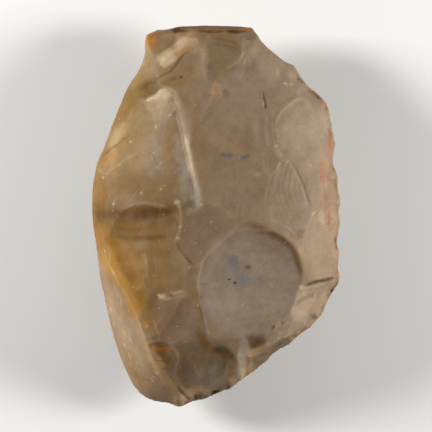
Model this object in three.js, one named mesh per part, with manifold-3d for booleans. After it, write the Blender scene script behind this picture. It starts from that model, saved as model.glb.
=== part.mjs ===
import * as THREE from 'three';
import { mergeVertices } from 'three/addons/utils/BufferGeometryUtils.js';
import Module from 'manifold-3d';

// A knapped flint hand axe lying on its lower face: butt towards +Y, foot towards -Y, +Z up.
// A lens-shaped blank follows the outline, and every flake scar is one shallow bowl cut from it.

const wasm = await Module();
wasm.setup();

// Main sizes, in millimetres.
const peakHeight = 38;
const edgeLevel = 15.5;
const edgeRisePerX = 0.08;
const edgeRisePerY = 0.04;
const restDip = 0.8;
const upperFullness = 2.75;
const fullerSides = [
  { extra: 2.0, towards: -142, narrowness: 4 },
  { extra: 1.7, towards: -36, narrowness: 4 },
];
const lowerFullness = 2.6;
const middle = { x: -4, y: 2 };

// Corners and turns of the plan outline, clockwise from the butt's left corner.
const outlineTurns = [
  [-22.4, 55.0], [-22.0, 57.0], [-20.3, 58.5], [-16.0, 58.8], [-12.5, 59.4], [-9.5, 62.0],
  [7.0, 63.0], [10.8, 60.0], [12.8, 57.8], [14.0, 55.0], [16.2, 53.0], [20.0, 50.2],
  [22.6, 48.4], [25.0, 47.6], [25.9, 45.6], [27.2, 43.0], [29.6, 40.4], [31.6, 39.2],
  [33.1, 37.3], [35.1, 36.0], [36.0, 33.6], [36.4, 29.5], [37.1, 25.4], [37.7, 22.4],
  [37.0, 19.0], [37.0, 16.0], [38.2, 12.6], [38.7, 9.0], [39.1, 4.6], [38.8, 1.6],
  [39.4, -1.5], [38.9, -4.8], [38.2, -8.0], [39.1, -12.0], [38.5, -16.8], [39.1, -19.4],
  [37.6, -23.0], [35.2, -28.0], [34.0, -32.0], [32.2, -33.4], [30.0, -35.2], [26.1, -37.9],
  [22.1, -41.2], [19.2, -43.0], [16.1, -45.8], [12.2, -49.8], [8.0, -52.4], [4.0, -55.2],
  [0.0, -56.6], [-5.0, -58.4], [-9.5, -59.8], [-12.0, -60.7], [-13.8, -59.8], [-21.6, -58.2],
  [-25.4, -55.2], [-27.6, -51.0], [-30.6, -44.0], [-34.4, -31.5], [-37.0, -18.0],
  [-38.0, -9.0], [-39.3, 1.5], [-38.6, 13.0], [-37.3, 19.5], [-34.4, 28.0], [-28.8, 39.2],
  [-23.9, 47.0], [-22.5, 51.0],
];

// Flake scars. size is length along the heading by width; rim is how steeply the bowl turns up
// at its edge; follow is how far its floor keeps to the rounded face (0 flat, 1 fully);
// square is the corner fullness of its outline; lean deepens one end or one side.
const upperScars = [
  { name: 'left hollow', at: [-24.5, 17], size: [43, 39], heading: 98, depth: 1.5,
    rim: 3.5, follow: 0.8, square: 3, lean: [0, -0.5] },
  { name: 'round hollow', at: [10.6, -20.9], size: [38, 33], heading: 88, depth: 2.3,
    rim: 2.8, follow: 0.3, square: 2.3, lean: [0.45, -0.2] },
  { name: 'lower right step', at: [30.8, -28], size: [16, 15], heading: 75, depth: 1.3,
    rim: 5, follow: 0.6, square: 3 },
  { name: 'butt middle', at: [3.1, 51], size: [21, 14.5], heading: 88, depth: 1.3,
    rim: 4, follow: 0.5, square: 2.3 },
  { name: 'right low', at: [33.6, -8.6], size: [23, 15], heading: 88, depth: 0.8,
    rim: 4, follow: 0.6, square: 2.6 },
  { name: 'right upper', at: [29.2, 26.3], size: [23.5, 24], heading: 90, depth: 0.6,
    rim: 4, follow: 0.75, square: 2.3 },
  { name: 'right middle', at: [22.5, 5], size: [26, 16], heading: 98, depth: 0.6,
    rim: 4, follow: 0.6, square: 2, lean: [0, 0.4] },
  { name: 'lower left', at: [-21, -16.5], size: [40, 33], heading: 64, depth: 0.9,
    rim: 3, follow: 0.4, square: 2.3 },
  { name: 'lower middle', at: [-11, -32], size: [17, 15], heading: 90, depth: 0.5,
    rim: 3, follow: 0.6, square: 2.3 },
  { name: 'saddle', at: [-3.9, -6], size: [19, 15], heading: 60, depth: 0.7,
    rim: 4, follow: 0.5, square: 2.3 },
  { name: 'foot', at: [-6.5, -48], size: [21, 20], heading: 80, depth: 0.7,
    rim: 3, follow: 0.6, square: 2.3 },
  { name: 'foot right', at: [12, -44.5], size: [24, 11], heading: 38, depth: 0.9,
    rim: 4, follow: 0.4, square: 2.3 },
  { name: 'butt corner', at: [-16.4, 54.6], size: [10, 8], heading: 10, depth: 0.8,
    rim: 3, follow: 0.6, square: 2.3 },
  { name: 'butt facet', at: [-9, 46.5], size: [19, 9], heading: 62, depth: 0.6,
    rim: 3, follow: 0.6, square: 2.3 },
  { name: 'centre', at: [8.4, 17], size: [44, 25], heading: 88, depth: 0.5,
    rim: 4, follow: 0.6, square: 3 },
  { name: 'upper right', at: [19, 45], size: [30, 18], heading: 55, depth: 0.5,
    rim: 4, follow: 0.6, square: 2.3 },
];

// The steep facet down the lower left flank: the ridge where it meets the face, then the oval
// patch it is cut from. It rises from the edge just fast enough to reach that ridge.
const flankRidge = [
  [-37.8, -5.5], [-36.2, -9.6], [-34.4, -13.2], [-32.0, -17.6], [-29.7, -21.3], [-27.0, -25.8],
  [-25.0, -29.8], [-23.3, -34.0], [-21.6, -38.2], [-20.0, -42.4], [-18.2, -46.6],
  [-16.2, -51.0], [-13.8, -55.4], [-11.8, -59.2],
];
const flankFacet = { at: [-29, -34], size: [78, 40], heading: 116, square: 2.6 };

// The blunt end of the butt: a flat break that leans back as it rises.
const buttBreak = { y: 60, level: 15, lean: 16 };

// Small retouch scars along the right edge, the lower right edge and the butt.
const retouchDepth = 0.9;
const retouchRim = 3;
const retouchFollow = 0.8;
const plainSquare = 2;
const retouch = [
  { at: [21.0, 48.0], size: [10, 7], heading: -47 },
  { at: [28.8, 38.2], size: [9, 7], heading: -50 },
  { at: [34.4, 30.5], size: [9, 6], heading: -70 },
  { at: [36.0, 19.5], size: [9, 6], heading: -83 },
  { at: [37.2, 8.5], size: [8, 6], heading: -85 },
  { at: [38.0, -4.5], size: [9, 6], heading: 92 },
  { at: [37.8, -14.5], size: [7, 5], heading: 92 },
  { at: [35.2, -25.5], size: [8, 6], heading: 65 },
  { at: [26.6, -35.0], size: [10, 7], heading: 38 },
  { at: [18.0, -42.0], size: [9, 6], heading: 40 },
  { at: [9.5, -49.0], size: [9, 6], heading: 38 },
  { at: [1.0, -53.6], size: [10, 7], heading: 28 },
  { at: [-8.0, -56.6], size: [8, 6], heading: 20 },
  { at: [-2.0, 57.6], size: [9, 5], heading: 0 },
  { at: [9.0, 57.2], size: [8, 5], heading: -15 },
];

// Plainer scars round the lower face, leaving its middle flat to rest on.
const lowerDepth = 1.2;
const lowerRim = 3;
const lowerFollow = 0.4;
const lowerScars = [
  { at: [22, 24], size: [40, 26], heading: 62 },
  { at: [-24, 24], size: [42, 26], heading: 112 },
  { at: [-24, -22], size: [40, 26], heading: 60 },
  { at: [25, -14], size: [40, 24], heading: 96 },
  { at: [2, 46], size: [28, 24], heading: 0 },
  { at: [2, -44], size: [30, 24], heading: 20 },
  { at: [-33, 2], size: [22, 14], heading: 90 },
  { at: [33, 8], size: [18, 12], heading: 90 },
  { at: [17, -38], size: [18, 14], heading: 38 },
  { at: [-17, -48], size: [18, 14], heading: 120 },
  { at: [-16, 50], size: [16, 12], heading: 30 },
];

// Facet counts and working clearances.
const blankSegments = 100;
const blankRings = 17;
const outlineSamples = 540;
const softHarmonics = 5;
const wideScar = 20;
const smallScar = 11;
const wideFacets = { around: 25, rings: 10 };
const middleFacets = { around: 20, rings: 8 };
const smallFacets = { around: 12, rings: 6 };
const facetGrid = { around: 40, rings: 18 };
const scarReach = 1.25;
const ridgeSamples = 60;
const clearOfFacet = 160;
const lidHeight = 60;
const underLid = 5;
const outerBlend = 6;
const spanShare = 0.8;
const leanFloor = 0.1;
const clearOfStone = 200;

const flintTone = 0x9c8a70;
const flintRoughness = 0.45;

const degrees = Math.PI / 180;
const fullTurn = 2 * Math.PI;

// Distance from the middle to the outline, by bearing.
const outlineCurve = new THREE.CatmullRomCurve3(
  outlineTurns.map(([x, y]) => new THREE.Vector3(x, y, 0)), true, 'centripetal');
const outlineRays = outlineCurve.getPoints(outlineSamples)
  .slice(0, outlineSamples)
  .map((point) => {
    const dx = point.x - middle.x;
    const dy = point.y - middle.y;
    return { bearing: Math.atan2(dy, dx), reach: Math.hypot(dx, dy) };
  })
  .sort((a, b) => a.bearing - b.bearing);

function outlineReach(bearing) {
  const after = outlineRays.findIndex((ray) => ray.bearing >= bearing);
  const next = outlineRays[after < 0 ? 0 : after];
  const previous = outlineRays[after > 0 ? after - 1 : outlineRays.length - 1];
  const span = (next.bearing - previous.bearing + fullTurn) % fullTurn;
  const along = (bearing - previous.bearing + fullTurn) % fullTurn;
  return THREE.MathUtils.lerp(previous.reach, next.reach, span > 0 ? along / span : 0);
}

// The same outline with its corners rounded away, for the contours well inside it.
const harmonics = [];
for (let order = 0; order <= softHarmonics; order += 1) {
  let cosine = 0;
  let sine = 0;
  for (let step = 0; step < outlineSamples; step += 1) {
    const bearing = -Math.PI + (fullTurn * step) / outlineSamples;
    cosine += outlineReach(bearing) * Math.cos(order * bearing);
    sine += outlineReach(bearing) * Math.sin(order * bearing);
  }
  const share = (order === 0 ? 1 : 2) / outlineSamples;
  harmonics.push({ order, cosine: cosine * share, sine: sine * share });
}

function softReach(bearing) {
  return harmonics.reduce((sum, { order, cosine, sine }) =>
    sum + cosine * Math.cos(order * bearing) + sine * Math.sin(order * bearing), 0);
}

// How far out a point lies: 0 at the middle, 1 on the outline.
function outwardShare(x, y) {
  const dx = x - middle.x;
  const dy = y - middle.y;
  const bearing = Math.atan2(dy, dx);
  const distance = Math.hypot(dx, dy);
  const edge = outlineReach(bearing);
  const blend = Math.min(distance / edge, 1) ** outerBlend;
  return distance / (edge * blend + softReach(bearing) * (1 - blend));
}

function edgeHeight(x, y) {
  return edgeLevel + edgeRisePerX * x + edgeRisePerY * y;
}

function upperFace(x, y) {
  const edge = edgeHeight(x, y);
  const bearing = Math.atan2(y - middle.y, x - middle.x);
  const fullness = fullerSides.reduce((sum, { extra, towards, narrowness }) =>
    sum + extra * Math.max(Math.cos(bearing - towards * degrees), 0) ** narrowness, upperFullness);
  return edge + (peakHeight - edge) * (1 - outwardShare(x, y) ** fullness);
}

function lowerFace(x, y) {
  const edge = edgeHeight(x, y);
  return edge - (edge + restDip) * (1 - outwardShare(x, y) ** lowerFullness);
}

// A point in a scar's own plan directions, as shares of its half length and half width.
function inScar(scar, x, y) {
  const turn = scar.heading * degrees;
  const dx = x - scar.at[0];
  const dy = y - scar.at[1];
  return {
    u: (dx * Math.cos(turn) + dy * Math.sin(turn)) / (scar.size[0] / 2),
    v: (dy * Math.cos(turn) - dx * Math.sin(turn)) / (scar.size[1] / 2),
  };
}

function fromScar(scar, u, v) {
  const turn = scar.heading * degrees;
  const along = (u * scar.size[0]) / 2;
  const across = (v * scar.size[1]) / 2;
  return {
    x: scar.at[0] + along * Math.cos(turn) - across * Math.sin(turn),
    y: scar.at[1] + along * Math.sin(turn) + across * Math.cos(turn),
  };
}

function fromMiddle(scar, u, v) {
  return (Math.abs(u) ** scar.square + Math.abs(v) ** scar.square) ** (1 / scar.square);
}

// Height of a scar's surface: a bowl sunk below a floor that is part plane, part rounded face.
function bowlRule(scar, face, side) {
  const heightAt = (u, v) => {
    const point = fromScar(scar, u, v);
    return face(point.x, point.y);
  };
  const ahead = heightAt(spanShare, 0);
  const behind = heightAt(-spanShare, 0);
  const left = heightAt(0, spanShare);
  const right = heightAt(0, -spanShare);
  const [leanAlong, leanAcross] = scar.lean ?? [0, 0];
  return (x, y) => {
    const { u, v } = inScar(scar, x, y);
    const plane = (ahead + behind + left + right) / 4
      + ((ahead - behind) * u + (left - right) * v) / (2 * spanShare);
    const floor = THREE.MathUtils.lerp(plane, face(x, y), scar.follow);
    const lean = Math.max(leanFloor, 1 + leanAlong * u + leanAcross * v);
    return floor - side * scar.depth * (1 - fromMiddle(scar, u, v) ** scar.rim) * lean;
  };
}

const upperCuts = [
  ...upperScars,
  ...retouch.map((chip) => (
    { ...chip, depth: retouchDepth, rim: retouchRim, follow: retouchFollow, square: plainSquare })),
].map((scar) => ({ scar, heightAt: bowlRule(scar, upperFace, 1) }));

// Height of the upper face with every scar taken out of it, before the flank facet.
function scarredHeight(x, y) {
  return upperCuts.reduce((lowest, { scar, heightAt }) => {
    const { u, v } = inScar(scar, x, y);
    return fromMiddle(scar, u, v) < scarReach ? Math.min(lowest, heightAt(x, y)) : lowest;
  }, upperFace(x, y));
}

// How fast the flank facet rises inwards from the edge, by bearing, so that it ends on its ridge.
const ridgeCurve = new THREE.CatmullRomCurve3(
  flankRidge.map(([x, y]) => new THREE.Vector3(x, y, 0)), false, 'centripetal');
const ridgeRises = ridgeCurve.getPoints(ridgeSamples)
  .map(({ x, y }) => ({
    bearing: Math.atan2(y - middle.y, x - middle.x),
    rise: (scarredHeight(x, y) - edgeHeight(x, y)) / (1 - outwardShare(x, y)),
  }))
  .sort((a, b) => a.bearing - b.bearing);

function facetRise(bearing) {
  const after = ridgeRises.findIndex((ray) => ray.bearing >= bearing);
  if (after < 1) return clearOfFacet;
  const previous = ridgeRises[after - 1];
  const next = ridgeRises[after];
  const share = (bearing - previous.bearing) / (next.bearing - previous.bearing);
  return THREE.MathUtils.lerp(previous.rise, next.rise, share);
}

function facetHeight(x, y) {
  const rise = facetRise(Math.atan2(y - middle.y, x - middle.x));
  return Math.min(edgeHeight(x, y) + rise * (1 - outwardShare(x, y)), lidHeight - underLid);
}

// A unit sphere with its poles on Z, each vertex moved by the given rule.
function shapedSphere(around, rings, place) {
  const geometry = new THREE.SphereGeometry(1, around, rings);
  geometry.rotateX(Math.PI / 2);
  geometry.deleteAttribute('normal');
  geometry.deleteAttribute('uv');
  const welded = mergeVertices(geometry);
  const position = welded.getAttribute('position');
  for (let index = 0; index < position.count; index += 1) {
    const point = place(position.getX(index), position.getY(index), position.getZ(index));
    position.setXYZ(index, point.x, point.y, point.z);
  }
  return welded;
}

function toSolid(geometry) {
  return new wasm.Manifold(new wasm.Mesh({
    numProp: 3,
    vertProperties: new Float32Array(geometry.getAttribute('position').array),
    triVerts: new Uint32Array(geometry.getIndex().array),
  }));
}

const levelTolerance = 1e-4;

const blank = shapedSphere(blankSegments, blankRings, (unitX, unitY, unitZ) => {
  const bearing = Math.atan2(unitY, unitX);
  const distance = Math.hypot(unitX, unitY) * outlineReach(bearing);
  const x = middle.x + distance * Math.cos(bearing);
  const y = middle.y + distance * Math.sin(bearing);
  if (Math.abs(unitZ) < levelTolerance) return { x, y, z: edgeHeight(x, y) };
  return { x, y, z: unitZ > 0 ? upperFace(x, y) : lowerFace(x, y) };
});

// The piece of air a scar takes away: the bowl on one side, a flat lid well clear on the other.
function scarSolid(scar, side, heightAt, facets) {
  return toSolid(shapedSphere(facets.around, facets.rings, (unitX, unitY, unitZ) => {
    const out = Math.hypot(unitX, unitY) * scarReach;
    const turn = Math.atan2(unitY, unitX);
    const corner = fromMiddle(scar, Math.cos(turn), Math.sin(turn));
    const { x, y } = fromScar(scar, (out * Math.cos(turn)) / corner, (out * Math.sin(turn)) / corner);
    const inBowl = unitZ * side < levelTolerance;
    return { x, y, z: inBowl ? heightAt(x, y) : side * lidHeight };
  }));
}

function facetsFor(scar) {
  const length = Math.max(...scar.size);
  if (length >= wideScar) return wideFacets;
  return length >= smallScar ? middleFacets : smallFacets;
}

let stone = toSolid(blank);
stone = stone.subtract(scarSolid(flankFacet, 1, facetHeight, facetGrid));
for (const { scar, heightAt } of upperCuts) {
  stone = stone.subtract(scarSolid(scar, 1, heightAt, facetsFor(scar)));
}
for (const flake of lowerScars) {
  const scar = { ...flake, depth: lowerDepth, rim: lowerRim, follow: lowerFollow, square: plainSquare };
  stone = stone.subtract(scarSolid(scar, -1, bowlRule(scar, lowerFace, -1), facetsFor(scar)));
}

function toBlock(geometry) {
  geometry.deleteAttribute('normal');
  geometry.deleteAttribute('uv');
  return toSolid(mergeVertices(geometry));
}

const beyondButt = new THREE.BoxGeometry(clearOfStone, clearOfStone, clearOfStone);
beyondButt.translate(0, clearOfStone / 2, 0);
beyondButt.rotateX(buttBreak.lean * degrees);
beyondButt.translate(0, buttBreak.y, buttBreak.level);
stone = stone.subtract(toBlock(beyondButt));

// Everything below the rest level goes, which leaves the flat spot the stone lies on.
const ground = new THREE.BoxGeometry(clearOfStone, clearOfStone, clearOfStone);
ground.translate(0, 0, -clearOfStone / 2);
stone = stone.subtract(toBlock(ground));

function toGeometry(solid) {
  const mesh = solid.getMesh();
  const geometry = new THREE.BufferGeometry();
  geometry.setAttribute('position', new THREE.BufferAttribute(mesh.vertProperties, mesh.numProp));
  geometry.setIndex(new THREE.BufferAttribute(mesh.triVerts, 1));
  geometry.computeVertexNormals();
  return geometry;
}

const flint = new THREE.MeshStandardMaterial({ color: flintTone, roughness: flintRoughness });
const body = new THREE.Mesh(toGeometry(stone), flint);
body.name = 'stone';

const group = new THREE.Group();
group.name = 'stone_hand_axe';
group.add(body);

export default group;
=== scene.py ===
import math

import bpy
import numpy as np
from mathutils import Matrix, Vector


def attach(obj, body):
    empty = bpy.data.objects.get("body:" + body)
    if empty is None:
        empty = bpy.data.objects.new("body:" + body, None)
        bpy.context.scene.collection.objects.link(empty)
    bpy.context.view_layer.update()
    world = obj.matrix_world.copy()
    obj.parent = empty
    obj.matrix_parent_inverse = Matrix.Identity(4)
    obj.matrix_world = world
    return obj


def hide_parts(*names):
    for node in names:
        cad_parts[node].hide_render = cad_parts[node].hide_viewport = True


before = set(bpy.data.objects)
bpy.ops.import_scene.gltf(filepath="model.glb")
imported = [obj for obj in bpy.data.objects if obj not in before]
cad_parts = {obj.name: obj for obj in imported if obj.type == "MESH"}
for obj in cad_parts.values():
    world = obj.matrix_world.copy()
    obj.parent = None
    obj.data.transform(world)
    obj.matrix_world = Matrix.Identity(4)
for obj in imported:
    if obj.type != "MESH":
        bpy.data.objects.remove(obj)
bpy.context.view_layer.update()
millimetre = 0.001

# The hand axe's form. Places and sizes are in millimetres, butt towards +Y, as in the frame.
# Its relief, paint and finish are added to the same dictionary, beside the code that uses them.
handAxe = {
    "skinSize": 0.53,                 # grid of the fine skin laid over the solid
    "peakHeight": 38,
    "edgeLevel": 15.5,                # height of the outline, which tilts a little
    "edgeRise": (0.08, 0.04),
    "restDip": 0.8,                   # how far the lower face would pass the ground without its flat rest
    "upperFullness": 2.75,            # how level a face is in its middle and how steep at its edge
    "lowerFullness": 2.6,
    "fuller": [(2.0, -142, 4), (1.7, -36, 4)],  # where it is fuller still: how much, which way, how narrowly
    "middle": (-4, 2),
    "outerBlend": 6,                  # how close to the edge the outline's corners begin to show
    "softHarmonics": 5,               # how much of the outline's shape is left nearer the middle
    "scarReach": 1.25,                # how far past its rim a scar may cut, 1 being the rim
    "leastLean": 0.1,                 # a leaning bowl keeps at least this share of its depth
    "retouchForm": (0.9, 3, 0.8, 2),  # depth, rim, follow and squareness of each retouch scar
    "lowerForm": (1.2, 3, 0.4, 2),    # the same for the lower face
    "bends": [(0.9, 7), (0.3, 2.6)],  # how far scar outlines wander, and over what length
    "bendSeed": 3,
    "fitRounds": 3,                   # times the skin is drawn onto the carved faces
    "fitStep": 1.0,                   # the farthest a point moves each time
    "wear": 2,                        # rounds of smoothing, which dull every ridge
    "buttBreak": (60, 15, 16),        # place along Y, level and lean of the flat butt
}
farAway = 1000.0                      # a height or distance that no point of the stone has

# Corners and turns of the plan outline, clockwise from the butt's left corner.
outlineTurns = [
    (-22.4, 55), (-22, 57), (-20.3, 58.5), (-16, 58.8), (-12.5, 59.4), (-9.5, 62), (7, 63), (10.8, 60),
    (12.8, 57.8), (14, 55), (16.2, 53), (20, 50.2), (22.6, 48.4), (25, 47.6), (25.9, 45.6), (27.2, 43),
    (29.6, 40.4), (31.6, 39.2), (33.1, 37.3), (35.1, 36), (36, 33.6), (36.4, 29.5), (37.1, 25.4),
    (37.7, 22.4), (37, 19), (37, 16), (38.2, 12.6), (38.7, 9), (39.1, 4.6), (38.8, 1.6), (39.4, -1.5),
    (38.9, -4.8), (38.2, -8), (39.1, -12), (38.5, -16.8), (39.1, -19.4), (37.6, -23), (35.2, -28),
    (34, -32), (32.2, -33.4), (30, -35.2), (26.1, -37.9), (22.1, -41.2), (19.2, -43), (16.1, -45.8),
    (12.2, -49.8), (8, -52.4), (4, -55.2), (0, -56.6), (-5, -58.4), (-9.5, -59.8), (-12, -60.7),
    (-13.8, -59.8), (-21.6, -58.2), (-25.4, -55.2), (-27.6, -51), (-30.6, -44), (-34.4, -31.5), (-37, -18),
    (-38, -9), (-39.3, 1.5), (-38.6, 13), (-37.3, 19.5), (-34.4, 28), (-28.8, 39.2), (-23.9, 47),
    (-22.5, 51),
]


def scar(at, size, heading, depth, rim=3, follow=0.5, square=2.3, lean=(0, 0)):
    # rim: how level its bottom is, follow: how much it keeps the face's own curve, lean: where it is deeper
    return {"at": at, "size": size, "heading": math.radians(heading), "depth": depth, "rim": rim,
            "follow": follow, "square": square, "lean": lean}


# Flake scars of the upper face, each a shallow bowl with its own outline.
upperScars = {
    "left hollow": scar((-24.5, 17), (43, 39), 98, 1.5, 3.5, 0.8, 3, (0, -0.5)),
    "round hollow": scar((10.6, -20.9), (38, 33), 88, 2.3, 2.8, 0.3, 2.3, (0.45, -0.2)),
    "lower right step": scar((30.8, -28), (16, 15), 75, 1.3, 5, 0.6, 3),
    "butt middle": scar((3.1, 51), (21, 14.5), 88, 1.3, 4),
    "right low": scar((33.6, -8.6), (23, 15), 88, 0.8, 4, 0.6, 2.6),
    "right upper": scar((29.2, 26.3), (23.5, 24), 90, 0.6, 4, 0.75),
    "right middle": scar((22.5, 5), (26, 16), 98, 0.6, 4, 0.6, 2, (0, 0.4)),
    "lower left": scar((-21, -16.5), (40, 33), 64, 0.9, 3, 0.4),
    "lower middle": scar((-11, -32), (17, 15), 90, 0.5, 3, 0.6),
    "saddle": scar((-3.9, -6), (19, 15), 60, 0.7, 4),
    "foot": scar((-6.5, -48), (21, 20), 80, 0.7, 3, 0.6),
    "foot right": scar((12, -44.5), (24, 11), 38, 0.9, 4, 0.4),
    "butt corner": scar((-16.4, 54.6), (10, 8), 10, 0.8, 3, 0.6),
    "butt facet": scar((-9, 46.5), (19, 9), 62, 0.6, 3, 0.6),
    "centre": scar((8.4, 17), (44, 25), 88, 0.5, 4, 0.6, 3),
    "upper right": scar((19, 45), (30, 18), 55, 0.5, 4, 0.6),
}

# Retouch along the edge: place, size and heading of each small scar.
retouch = [
    ((21, 48), (10, 7), -47), ((28.8, 38.2), (9, 7), -50), ((34.4, 30.5), (9, 6), -70),
    ((36, 19.5), (9, 6), -83), ((37.2, 8.5), (8, 6), -85), ((38, -4.5), (9, 6), 92),
    ((37.8, -14.5), (7, 5), 92), ((35.2, -25.5), (8, 6), 65), ((26.6, -35), (10, 7), 38),
    ((18, -42), (9, 6), 40), ((9.5, -49), (9, 6), 38), ((1, -53.6), (10, 7), 28), ((-8, -56.6), (8, 6), 20),
    ((-2, 57.6), (9, 5), 0), ((9, 57.2), (8, 5), -15),
]

# Plainer scars of the lower face: place, size and heading.
lowerScars = [
    ((22, 24), (40, 26), 62), ((-24, 24), (42, 26), 112), ((-24, -22), (40, 26), 60),
    ((25, -14), (40, 24), 96), ((2, 46), (28, 24), 0), ((2, -44), (30, 24), 20), ((-33, 2), (22, 14), 90),
    ((33, 8), (18, 12), 90), ((17, -38), (18, 14), 38), ((-17, -48), (18, 14), 120),
    ((-16, 50), (16, 12), 30),
]

# The steep facet down the lower left flank: the ridge it meets the face along.
flankRidge = [
    (-37.8, -5.5), (-36.2, -9.6), (-34.4, -13.2), (-32, -17.6), (-29.7, -21.3), (-27, -25.8), (-25, -29.8),
    (-23.3, -34), (-21.6, -38.2), (-20, -42.4), (-18.2, -46.6), (-16.2, -51), (-13.8, -55.4),
    (-11.8, -59.2),
]


def smoothStep(low, high, value):
    share = np.clip((value - low) / (high - low), 0, 1)
    return share * share * (3 - 2 * share)


def smoothLine(turns, closed=False, steps=8):
    # a curve through given turns, as closely spaced points
    turns = np.array(turns, float)
    before = np.roll(turns, 1, 0) if closed else np.vstack([turns[:1], turns[:-1]])
    after = np.roll(turns, -1, 0) if closed else np.vstack([turns[1:], turns[-1:]])
    afterNext = np.roll(turns, -2, 0) if closed else np.vstack([turns[2:], turns[-1:], turns[-1:]])
    spans = len(turns) if closed else len(turns) - 1
    points = []
    for i in range(spans):
        gaps = [max(np.linalg.norm(b - a), 1e-6) ** 0.5
                for a, b in ((before[i], turns[i]), (turns[i], after[i]), (after[i], afterNext[i]))]
        leave = (turns[i] - before[i]) / gaps[0] - (after[i] - before[i]) / (gaps[0] + gaps[1])
        leave = (leave + (after[i] - turns[i]) / gaps[1]) * gaps[1]
        arrive = (after[i] - turns[i]) / gaps[1] - (afterNext[i] - turns[i]) / (gaps[1] + gaps[2])
        arrive = (arrive + (afterNext[i] - after[i]) / gaps[2]) * gaps[1]
        for t in np.arange(steps) / steps:
            points.append((2 * t**3 - 3 * t**2 + 1) * turns[i] + (t**3 - 2 * t**2 + t) * leave
                          + (3 * t**2 - 2 * t**3) * after[i] + (t**3 - t**2) * arrive)
    if not closed:
        points.append(turns[-1])
    return np.array(points)


# Distance from the middle to the outline, by bearing, as drawn and with its corners rounded off.
outlinePoints = smoothLine(outlineTurns, closed=True, steps=16)
fromMiddle = outlinePoints - np.array(handAxe["middle"])
order = np.argsort(np.arctan2(fromMiddle[:, 1], fromMiddle[:, 0]))
outlineBearings = np.arctan2(fromMiddle[:, 1], fromMiddle[:, 0])[order]
outlineReaches = np.hypot(fromMiddle[:, 0], fromMiddle[:, 1])[order]


def outlineReach(bearing):
    return np.interp(bearing, outlineBearings, outlineReaches, period=2 * math.pi)


bearingCount = 540
evenBearings = np.linspace(-math.pi, math.pi, bearingCount, endpoint=False)
spectrum = np.fft.rfft(outlineReach(evenBearings))
spectrum[handAxe["softHarmonics"] + 1:] = 0
softReaches = np.fft.irfft(spectrum, bearingCount)


def outwardShare(x, y):
    # 0 at the middle of the stone, 1 on its outline
    dx, dy = x - handAxe["middle"][0], y - handAxe["middle"][1]
    bearing, distance = np.arctan2(dy, dx), np.hypot(dx, dy)
    edge = outlineReach(bearing)
    soft = np.interp(bearing, evenBearings, softReaches, period=2 * math.pi)
    blend = np.minimum(distance / edge, 1) ** handAxe["outerBlend"]
    return distance / (edge * blend + soft * (1 - blend)), bearing


def edgeHeight(x, y):
    return handAxe["edgeLevel"] + handAxe["edgeRise"][0] * x + handAxe["edgeRise"][1] * y


def upperDome(x, y):
    share, bearing = outwardShare(x, y)
    fullness = handAxe["upperFullness"]
    for extra, towards, narrowness in handAxe["fuller"]:
        fullness = fullness + extra * np.maximum(np.cos(bearing - math.radians(towards)), 0) ** narrowness
    edge = edgeHeight(x, y)
    return edge + (handAxe["peakHeight"] - edge) * (1 - share ** fullness)


def lowerDome(x, y):
    share, _ = outwardShare(x, y)
    edge = edgeHeight(x, y)
    return edge - (edge + handAxe["restDip"]) * (1 - share ** handAxe["lowerFullness"])


def inScar(mark, x, y):
    # a point in the scar's own directions, and how far out it lies: 1 on the scar's rim
    along, across = math.cos(mark["heading"]), math.sin(mark["heading"])
    dx, dy = x - mark["at"][0], y - mark["at"][1]
    u = (dx * along + dy * across) / (mark["size"][0] / 2)
    v = (dy * along - dx * across) / (mark["size"][1] / 2)
    return u, v, (np.abs(u) ** mark["square"] + np.abs(v) ** mark["square"]) ** (1 / mark["square"])


def scarHeight(mark, dome, side, x, y, domeHeight, bend):
    # a bowl below a ground that is part plane, part rounded face, its outline bent a little
    probe = 0.4                       # share of its length and width at which the face is read
    along = np.array([math.cos(mark["heading"]), math.sin(mark["heading"])])
    across = np.array([-along[1], along[0]])
    ends = [np.array(mark["at"]) + step for step in
            (along * probe * mark["size"][0], -along * probe * mark["size"][0],
             across * probe * mark["size"][1], -across * probe * mark["size"][1])]
    ahead, behind, left, right = (dome(*end) for end in ends)
    u, v, out = inScar(mark, x + bend[0], y + bend[1])
    plane = (ahead + behind + left + right) / 4 + ((ahead - behind) * u + (left - right) * v) / (4 * probe)
    ground = plane + (domeHeight - plane) * mark["follow"]
    lean = np.maximum(handAxe["leastLean"], 1 + mark["lean"][0] * u + mark["lean"][1] * v)
    bowl = ground - side * mark["depth"] * (1 - out ** mark["rim"]) * lean
    return np.where(out < handAxe["scarReach"], bowl, side * farAway)


def facetHeight(x, y):
    share, bearing = outwardShare(x, y)
    rise = np.interp(bearing, ridgeBearings, ridgeRises, left=farAway, right=farAway)
    return edgeHeight(x, y) + rise * (1 - share)


class Grain:
    # smooth seeded noise from -1 to 1, the same again past every 32 cells
    cells = 32

    def __init__(self, seed):
        self.lattice = np.random.default_rng(seed).uniform(-1, 1, (self.cells,) * 3)

    def at(self, points, size):
        place = points / size
        cell = np.floor(place).astype(int)
        part = place - cell
        part = part * part * (3 - 2 * part)
        total = np.zeros(len(points))
        for corner in np.ndindex(2, 2, 2):
            weight = np.ones(len(points))
            for axis in range(3):
                weight = weight * (part[:, axis] if corner[axis] else 1 - part[:, axis])
            spot = (cell + corner) % self.cells
            total += weight * self.lattice[spot[:, 0], spot[:, 1], spot[:, 2]]
        return total

    def layered(self, points, layers, shift=0):
        # several sizes added up. Each layer is how much, what size, and a shift to another part of the noise
        return sum(much * self.at(points + shift + far, size) for much, size, far in layers)


outlineBend = Grain(handAxe["bendSeed"])


def bendAt(x, y, much, size):
    flat = np.stack([x, y, np.zeros(len(x))], 1)
    return [much * outlineBend.at(flat + shift, size) for shift in (0, 77)]


upperMarks = list(upperScars.values()) + [scar(*chip, *handAxe["retouchForm"]) for chip in retouch]
lowerMarks = [scar(*flake, *handAxe["lowerForm"]) for flake in lowerScars]
facetMark = len(upperMarks)


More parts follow.
